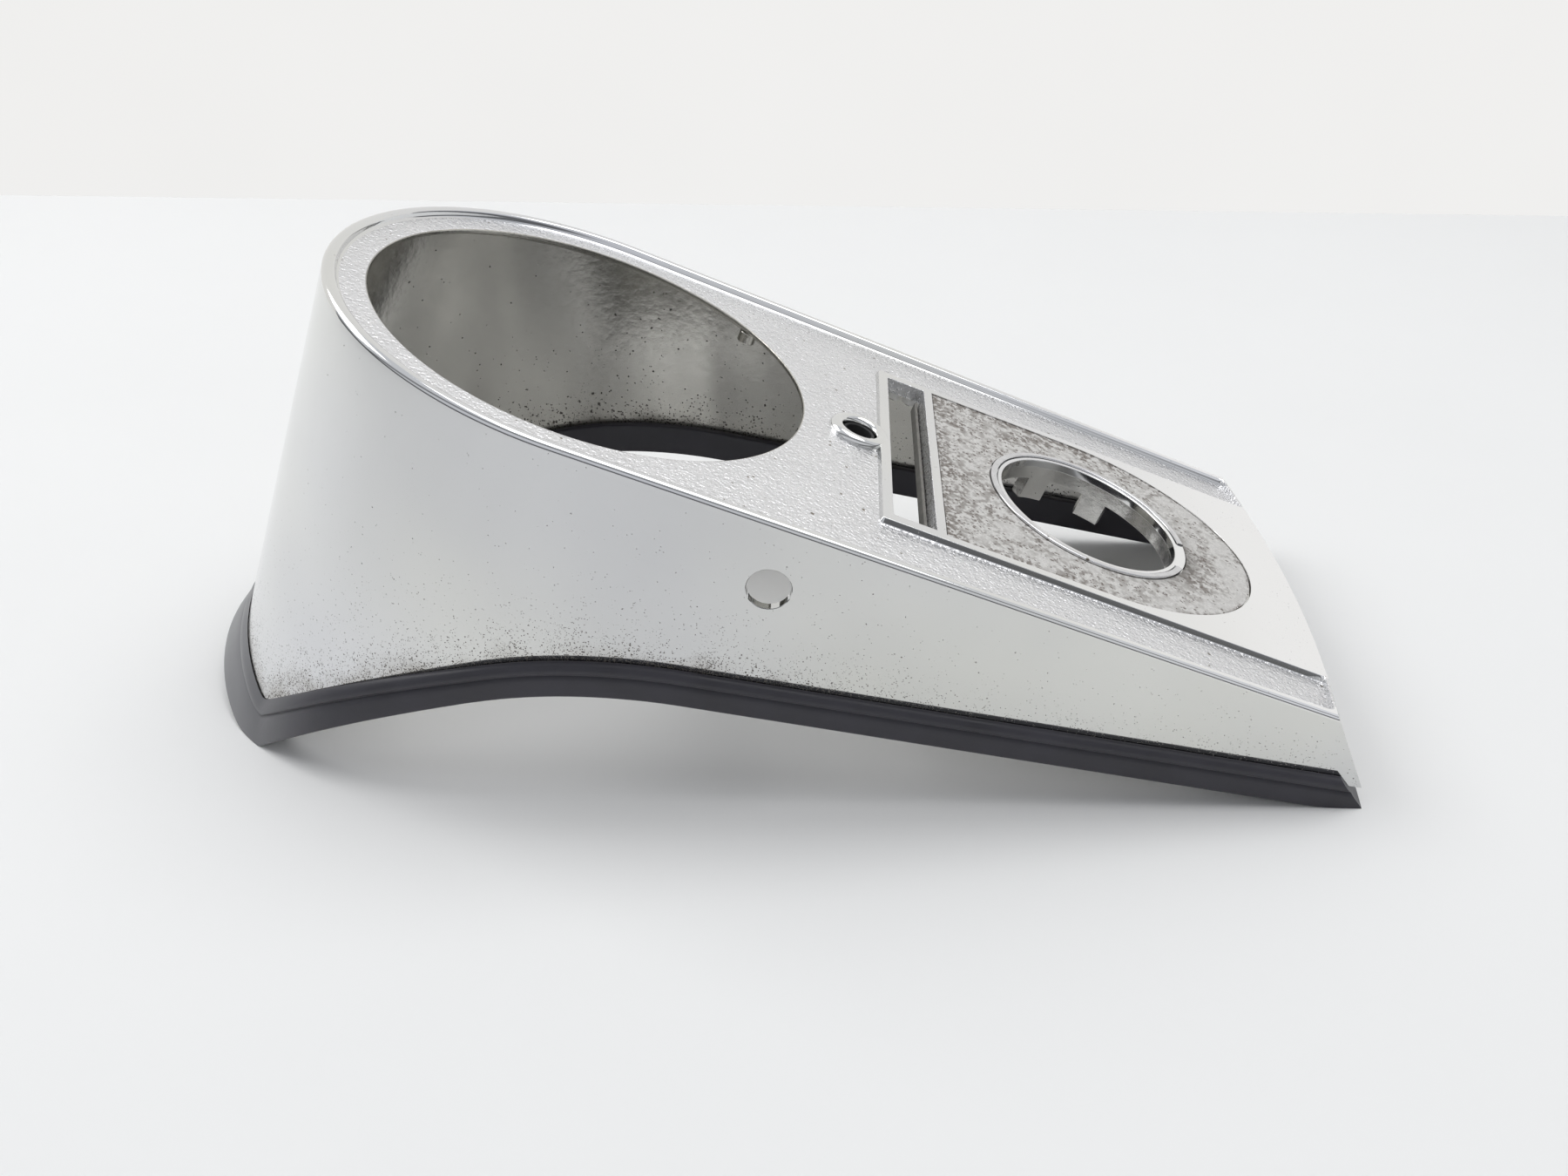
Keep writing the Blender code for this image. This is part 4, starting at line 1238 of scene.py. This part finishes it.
def mark_wear_and_painted_light(p, piece, least=0.0):
    """Writes edge_wear, which fades with the rise over the lower edge, and a layer of painted
    light and shade.

    That layer follows the length, on the walls and on the deck's tops, and is never under least.
    """
    points = mesh_points(piece)
    level = edge_height(p, points[:, 0], points[:, 1])
    rise = np.maximum(points[:, 2] - level - 0.003, 0.0)
    near = sum(share * np.exp(-rise / reach) for share, reach in WEAR_FADES)
    front = np.interp(points[:, 0], *PITS_ALONG)
    # Painted light on the deck's tops, lighter towards the tail; painted shade on the walls,
    # strongest about the middle
    deck = np.clip((points @ deck_axes(p)[2] - 0.0002) / 0.001, 0.0, 1.0)
    deck *= np.interp(points[:, 0], *DECK_PAINTED_LIGHT)
    wall = np.interp(points[:, 0], *WALL_PAINTED_LIGHT)
    fresh = np.maximum(np.maximum(wall, deck), least)
    write_layers(piece, edge_wear=near * front, fresh=fresh)


def mark_stains(p, piece, edge):
    """Writes stain, strong by the plate's outline, and bare, round the key, on the inlay."""
    deck = mesh_points(piece) @ deck_axes(p).T
    apart = np.hypot(deck[:, None, 0] - edge[:, 0], deck[:, None, 1] - edge[:, 1]).min(1)
    front = np.exp(-np.maximum(deck[:, 0] - p.inlay_u, 0.0) / STAIN_REACH)
    far = np.exp(-np.maximum(p.inlay_half - deck[:, 1], 0.0) / STAIN_REACH)
    turn = np.arctan2(deck[:, 1], deck[:, 0] - p.switch_u)
    ring = np.hypot(deck[:, 0] - p.switch_u, deck[:, 1]) - p.ring_radius
    key = np.exp(-(((turn - p.key_angle + 0.1) / 0.55) ** 2))
    halo = key * np.exp(-(((ring - 0.006) / 0.0045) ** 2))
    reach = (0.0, p.ring_radius, p.inlay_reach)
    clean = np.interp(deck[:, 0] - p.switch_u, reach, (0.0, 0.15, 0.75))
    stain = 0.6 * np.exp(-apart / 0.0011) + 0.55 * front + 0.65 * far + 0.7 * halo - clean
    stain = np.clip(stain, -0.6, 1.0)
    bare = key * np.exp(-((ring / 0.0034) ** 2))
    write_layers(piece, stain=stain, bare=bare)


# ---------------------------------------------------------------- operators


def settings(context):
    return places(context.scene.console_sizes), context.scene.console_colours


class CONSOLE_OT_casting(Operator):
    """Builds the plated casting with its bead, field, island, openings and walls"""

    bl_idname = "console.casting"
    bl_label = "Casting"

    def execute(self, context):
        p, colours = settings(context)
        finishes = [polished_plating(colours), stippled_plating(colours), dull_casting(colours)]
        cast = (p, finishes, "root", "plated_casting", ("console_shell",))
        mark_wear_and_painted_light(p, casting(p).build("console_casting", *cast))

        eyelet = Patches()
        h, r, bore, crown = p.eyelet_height, p.eyelet_radius, p.eyelet_bore, p.eyelet_crown
        turn = np.linspace(0.0, math.pi / 2, 9)
        mid = (r + bore) / 2 - 0.0002
        side = crown * 1.25
        outer = np.stack([mid + (r - mid) * np.cos(turn), h - side + side * np.sin(turn)], -1)
        inner = np.stack([mid - (mid - bore) * np.sin(turn), h - crown * (1 - np.cos(turn))], -1)
        foot, soft = -p.eyelet_depth, 0.0003
        low = np.array(((bore, foot), (r - soft, foot), (r, foot + soft)))
        profile = np.concatenate([outer, inner[1:], low])
        eyelet.add(turned(profile, p.eyelet_u, 0.0, ROUND_EYELET), closed=True, looped=True)
        mark_wear_and_painted_light(p, eyelet.build("stud_eyelet", *cast), TRIM_PAINTED_LIGHT)

        well = Patches()
        top = -p.deck_thickness + 0.0002
        for front, rear in (
            (p.slot_u - p.well_wall, p.slot_u - SKIN_GAP),
            (p.slot_rear + SKIN_GAP, p.slot_rear + p.well_wall),
        ):
            bar = rail(front, rear, -p.well_depth, top, p.rail_half, FITTING_SOFT)
            well.add(bar, STIPPLED, closed=True)
        well.build("lamp_well", *cast)

        seat = Patches()
        lip = rounded_box(p.switch_bore, p.lip_radius, -0.0008, p.island_height, 0.00028, 4)
        seat.add(turned(lip, p.switch_u, 0.0, ROUND_LIP), closed=True, looped=True)
        key = rounded_box(p.lip_radius - 0.0004, p.ring_radius, 0.0002, p.island_height, 0.0003, 4)
        start, end = p.key_angle - p.key_span, p.key_angle + p.key_span
        seat.add(sector(key, p.switch_u, 0.0, start, end, 12), looped=True)
        mark_wear_and_painted_light(p, seat.build("switch_lip", *cast), TRIM_PAINTED_LIGHT)

        collar = Patches()
        bore = p.switch_bore
        ring = rounded_box(
            bore + SKIN_GAP, bore + p.collar_wall, -p.collar_depth, -0.0004, 0.0003
        )
        band = turned(ring, p.switch_u, 0.0, ROUND_COLLAR)
        collar.add(band, DULL, closed=True, looped=True)
        post = rounded_box(
            bore + 2 * SKIN_GAP, bore + p.post_wall, -p.post_depth, top, 0.0006, 4
        )
        for quarter in (-1, 1):
            for lean in (-1, 1):
                mid = quarter * math.pi / 2 + lean * p.post_spread
                grid = sector(post, p.switch_u, 0.0, mid - p.post_span, mid + p.post_span, 8)
                collar.add(grid, DULL, looped=True)
        collar.build("switch_collar", *cast)

        bosses = Patches()
        radius = p.opening_radius + p.boss_inset
        tube = rounded_box(p.boss_bore, p.boss_radius, -p.boss_depth, top, 0.0003)
        low, r = -p.deck_thickness - p.pin_length, p.pin_radius
        pin = ((0.0, top), (r, top), (r, low + soft), (r - soft, low), (0.0, low))
        for hand in (-1, 1):
            u, v = radius * math.cos(p.boss_angle), hand * radius * math.sin(p.boss_angle)
            bosses.add(turned(tube, u, v, ROUND_TUBE), DULL, closed=True, looped=True)
            for end in (-1, 1):
                u = p.pin_u + end * p.pin_pitch / 2
                bosses.add(turned(pin, u, hand * p.pin_v, ROUND_PIN), DULL, closed=True)
        bosses.build("casting_bosses", *cast)
        return {"FINISHED"}


class CONSOLE_OT_gasket(Operator):
    """Builds the rubber channel on the lower edge"""

    bl_idname = "console.gasket"
    bl_label = "Edge gasket"

    def execute(self, context):
        p, colours = settings(context)
        rubber = [gasket_rubber(colours)]
        gasket(p).build("gasket_channel", p, rubber, "root", "gasket_rubber", ("edge_gasket",))
        return {"FINISHED"}


class CONSOLE_OT_switch_trim(Operator):
    """Builds the weathered inlay plate and the open trim ring round the switch hole"""

    bl_idname = "console.switch_trim"
    bl_label = "Inlay and trim ring"

    def execute(self, context):
        p, colours = settings(context)
        low = p.inlay_floor + p.fit
        high = low + p.inlay_thickness
        turn = np.linspace(math.pi / 2, -math.pi / 2, 73)
        half, reach = p.inlay_half - p.fit, p.inlay_reach - p.fit
        rear = np.stack([p.switch_u + reach * np.cos(turn), half * np.sin(turn)], -1)
        front = np.linspace((p.inlay_u + p.fit, -half), (p.inlay_u + p.fit, half), 41)
        runs = np.linspace(p.inlay_u + p.fit, p.switch_u, 20)[1:-1]
        side = np.stack([runs, np.full(len(runs), half)], -1)
        edge = np.concatenate([front, side, rear, side[::-1] * (1, -1)])
        edge = np.column_stack([edge, np.zeros(len(edge))])
        middle = np.array((p.switch_u, 0.0, 0.0))
        inward = (middle - edge) / np.linalg.norm(middle - edge, axis=1)[:, None]
        soft = INLAY_SOFT
        rows = [
            edge + (0, 0, low),
            edge + (0, 0, high - soft),
            edge + inward * soft * 0.3 + (0, 0, high - soft * 0.3),
            edge + inward * soft + (0, 0, high),
        ]
        rim = round_hole(edge, p.switch_u, 0.0, p.ring_radius + p.fit, high)
        rows += list(between(rows[-1], rim, 24)[1:])
        rows.append(rim - (0, 0, high - low))
        plate = Patches()
        plate.add(np.stack(rows), closed=True, looped=True)
        worn = [weathered_inlay(colours)]
        inlay = plate.build("inlay_plate", p, worn, "root", "weathered_inlay", ("switch_inlay",))
        mark_stains(p, inlay, edge)

        gap = p.key_span + p.fit / p.lip_radius
        high = low + p.ring_height
        section = rounded_box(p.lip_radius + p.fit, p.ring_radius, low, high, 0.0004, 5)
        ring = Patches()
        start, end = p.key_angle + gap, p.key_angle - gap + math.tau
        ring.add(sector(section, p.switch_u, 0.0, start, end, ROUND_LIP), looped=True)
        trim = bright_trim(colours, "trim_chrome", colours.trim, 0.08)
        ring.build("trim_ring", p, [trim], "root", "trim_chrome", ("switch_trim_ring",))
        return {"FINISHED"}


class CONSOLE_OT_fittings(Operator):
    """Builds the stud bush, the lamp well's seal and the sleeves on the lamp pins"""

    bl_idname = "console.fittings"
    bl_label = "Bush, seal and sleeves"

    def execute(self, context):
        p, colours = settings(context)
        outer = p.eyelet_bore - p.fit
        flange = p.slot_u - p.well_wall - p.bush_gap - p.eyelet_u
        top = p.eyelet_height - p.eyelet_crown
        seat = -p.eyelet_depth - p.fit
        low = seat - p.bush_flange
        r = FITTING_SOFT
        profile = (
            (outer - r, top), (outer, top - r), (outer, seat), (flange - r, seat),
            (flange, seat - r), (flange, low + r), (flange - r, low), (p.bush_bore + r, low),
            (p.bush_bore, low + r), (p.bush_bore, top - r), (p.bush_bore + r, top),
        )
        bush = Patches()
        bush.add(turned(profile, p.eyelet_u, 0.0, ROUND_BUSH), closed=True, looped=True)
        rubber = soft_plain("bush_rubber", colours.bush, 0.55, 0.8, 300.0)
        bush.build("bush_ring", p, [rubber], "root", "bush_rubber", ("stud_bush",))

        seal = Patches()
        low, high = -p.well_depth, p.seal_height - p.well_depth
        rear = p.slot_rear - p.fit
        seal.add(rail(rear - p.seal_width, rear, low, high, p.rail_half, r), closed=True)
        foam = soft_plain("seal_foam", colours.seal, 0.8, 0.95, 500.0)
        seal.build("well_seal", p, [foam], "root", "seal_foam", ("lamp_well_seal",))

        nylon = soft_plain("sleeve_nylon", colours.nylon, 0.45, 0.65, 250.0)
        bore = p.pin_radius + p.fit
        top = -p.deck_thickness - p.fit
        tube = rounded_box(bore, bore + p.sleeve_wall, top - p.sleeve_length, top, r)
        for name, hand, end in (
            ("right_front", 1, -1),
            ("right_rear", 1, 1),
            ("left_front", -1, -1),
            ("left_rear", -1, 1),
        ):
            sleeve = Patches()
            u = p.pin_u + end * p.pin_pitch / 2
            grid = turned(tube, u, hand * p.pin_v, ROUND_TUBE)
            sleeve.add(grid, closed=True, looped=True)
            node = "lamp_sleeve_" + name
            sleeve.build("sleeve_" + name, p, [nylon], "root", "sleeve_nylon", (node,))
        return {"FINISHED"}


class CONSOLE_OT_stage(Operator):
    """Sets the table, the wall behind it, the soft light and the camera"""

    bl_idname = "console.stage"
    bl_label = "Stage"

    def execute(self, context):
        scene = context.scene
        colours = scene.console_colours
        wide = np.linspace(-2.0, 2.0, 9)
        deep = np.linspace(-0.9, 0.45, 9)
        x, y = np.meshgrid(wide, deep)
        floor = self.sheet("table", np.stack([x, y, np.zeros_like(x)], -1), table_top(colours))
        x, z = np.meshgrid(2 * wide, np.linspace(-0.8, 2.6, 9))
        upright = np.stack([x, np.full_like(x, 1.5), z], -1)
        wall = self.sheet("backdrop", upright, wall_paint(colours))

        world = bpy.data.worlds.new("studio")
        world.use_nodes = True
        self.room(world.node_tree)
        scene.world = world
        self.lamp("key", (-1.0, 0.35, 1.05), (0.0, 0.1, 0.0), 0.8, 6.6)
        self.lamp("top", (0.45, 0.25, 1.5), (0.2, 0.15, 0.0), 1.0, 9.3)
        cone = math.radians(3.4)
        self.lamp("inner", (-0.473, -0.307, 1.049), (0.0, 0.031, 0.0), 0.01, 14.3, cone)

        camera = bpy.data.cameras.new("photo_camera")
        camera.sensor_width = 36.0
        camera.lens = 31.806
        camera.clip_start = 0.01
        view = bpy.data.objects.new("photo_camera", camera)
        right = (0.9989, 0.0463, 0.0)
        up = (-0.0243, 0.5243, 0.8512)
        back = (0.0394, -0.8503, 0.5248)
        place = (0.02186, -0.3413, 0.2305)
        view.matrix_world = placed(right, up, back, place)
        scene.collection.objects.link(view)
        scene.camera = view
        scene.view_settings.view_transform = "Standard"
        return {"FINISHED"}

    def room(self, tree):
        """A room pale overhead, dim about the horizon, with a dim band high up in front."""
        g = Nodes(tree)
        back = tree.nodes["Background"]
        g.feed((0.93, 0.95, 1.0), back.inputs["Color"])
        way = g.node("ShaderNodeSeparateXYZ")
        g.link(g.node("ShaderNodeTexCoord").outputs["Generated"], way.inputs[0])
        level = g.span(way.outputs["Z"], 0.15, 0.72, 0.12, 0.32, "SMOOTHSTEP")
        ahead = g.math("MULTIPLY", way.outputs["Y"], -1.0)
        turn = g.math("ARCTAN2", way.outputs["Z"], ahead)
        below = g.span(turn, 1.0, 0.35, 0.75, 0.95, "SMOOTHSTEP")
        above = g.span(turn, 0.35, 1.0, 1.1, 1.3, "SMOOTHSTEP")
        band = g.math("MAXIMUM", below, above)
        g.link(g.math("MULTIPLY", level, band), back.inputs["Strength"])

    def sheet(self, name, grid, material):
        """A flat grid as one mesh."""
        rows, cols = grid.shape[:2]
        index = np.arange(rows * cols).reshape(rows, cols)
        mesh = bpy.data.meshes.new(name)
        mesh.from_pydata(grid.reshape(-1, 3), [], grid_quads(index).tolist())
        mesh.materials.append(material)
        piece = bpy.data.objects.new(name, mesh)
        bpy.context.scene.collection.objects.link(piece)
        return piece

    def lamp(self, name, place, target, size, power, cone=0.0):
        """A square soft lamp, or one with a narrow soft cone, turned towards a target."""
        light = bpy.data.lights.new(name, "SPOT" if cone else "AREA")
        light.energy = power
        if cone:
            light.spot_size, light.spot_blend, light.shadow_soft_size = cone, 1.0, size
        else:
            light.size = size
        lamp = bpy.data.objects.new(name, light)
        away = np.array(place) - np.array(target)
        z = away / np.linalg.norm(away)
        x = np.cross((0.0, 0.0, 1.0), z)
        x /= np.linalg.norm(x)
        y = np.cross(z, x)
        lamp.matrix_world = placed(x, y, z, place)
        bpy.context.scene.collection.objects.link(lamp)


class CONSOLE_PT_panel(Panel):
    """Lists the console's pieces and their sizes"""

    bl_idname = "CONSOLE_PT_panel"
    bl_label = "Dash console"
    bl_space_type = "VIEW_3D"
    bl_region_type = "UI"
    bl_category = "Console"

    def draw(self, context):
        layout = self.layout
        for operator in OPERATORS:
            layout.operator(operator.bl_idname)
        scene = context.scene
        for group, title in ((scene.console_sizes, "Sizes"), (scene.console_colours, "Colours")):
            box = layout.box()
            box.label(text=title)
            for key in type(group).__annotations__:
                box.prop(group, key)


OPERATORS = (
    CONSOLE_OT_stage,
    CONSOLE_OT_casting,
    CONSOLE_OT_gasket,
    CONSOLE_OT_switch_trim,
    CONSOLE_OT_fittings,
)
CLASSES = (ConsoleSizes, ConsoleColours, *OPERATORS, CONSOLE_PT_panel)


def register():
    for cls in CLASSES:
        bpy.utils.register_class(cls)
    bpy.types.Scene.console_sizes = PointerProperty(type=ConsoleSizes)
    bpy.types.Scene.console_colours = PointerProperty(type=ConsoleColours)


def unregister():
    del bpy.types.Scene.console_colours
    del bpy.types.Scene.console_sizes
    for cls in reversed(CLASSES):
        bpy.utils.unregister_class(cls)


def main():
    register()
    bpy.ops.console.stage()
    bpy.ops.console.casting()
    bpy.ops.console.gasket()
    bpy.ops.console.switch_trim()
    bpy.ops.console.fittings()


if __name__ == "__main__":
    main()
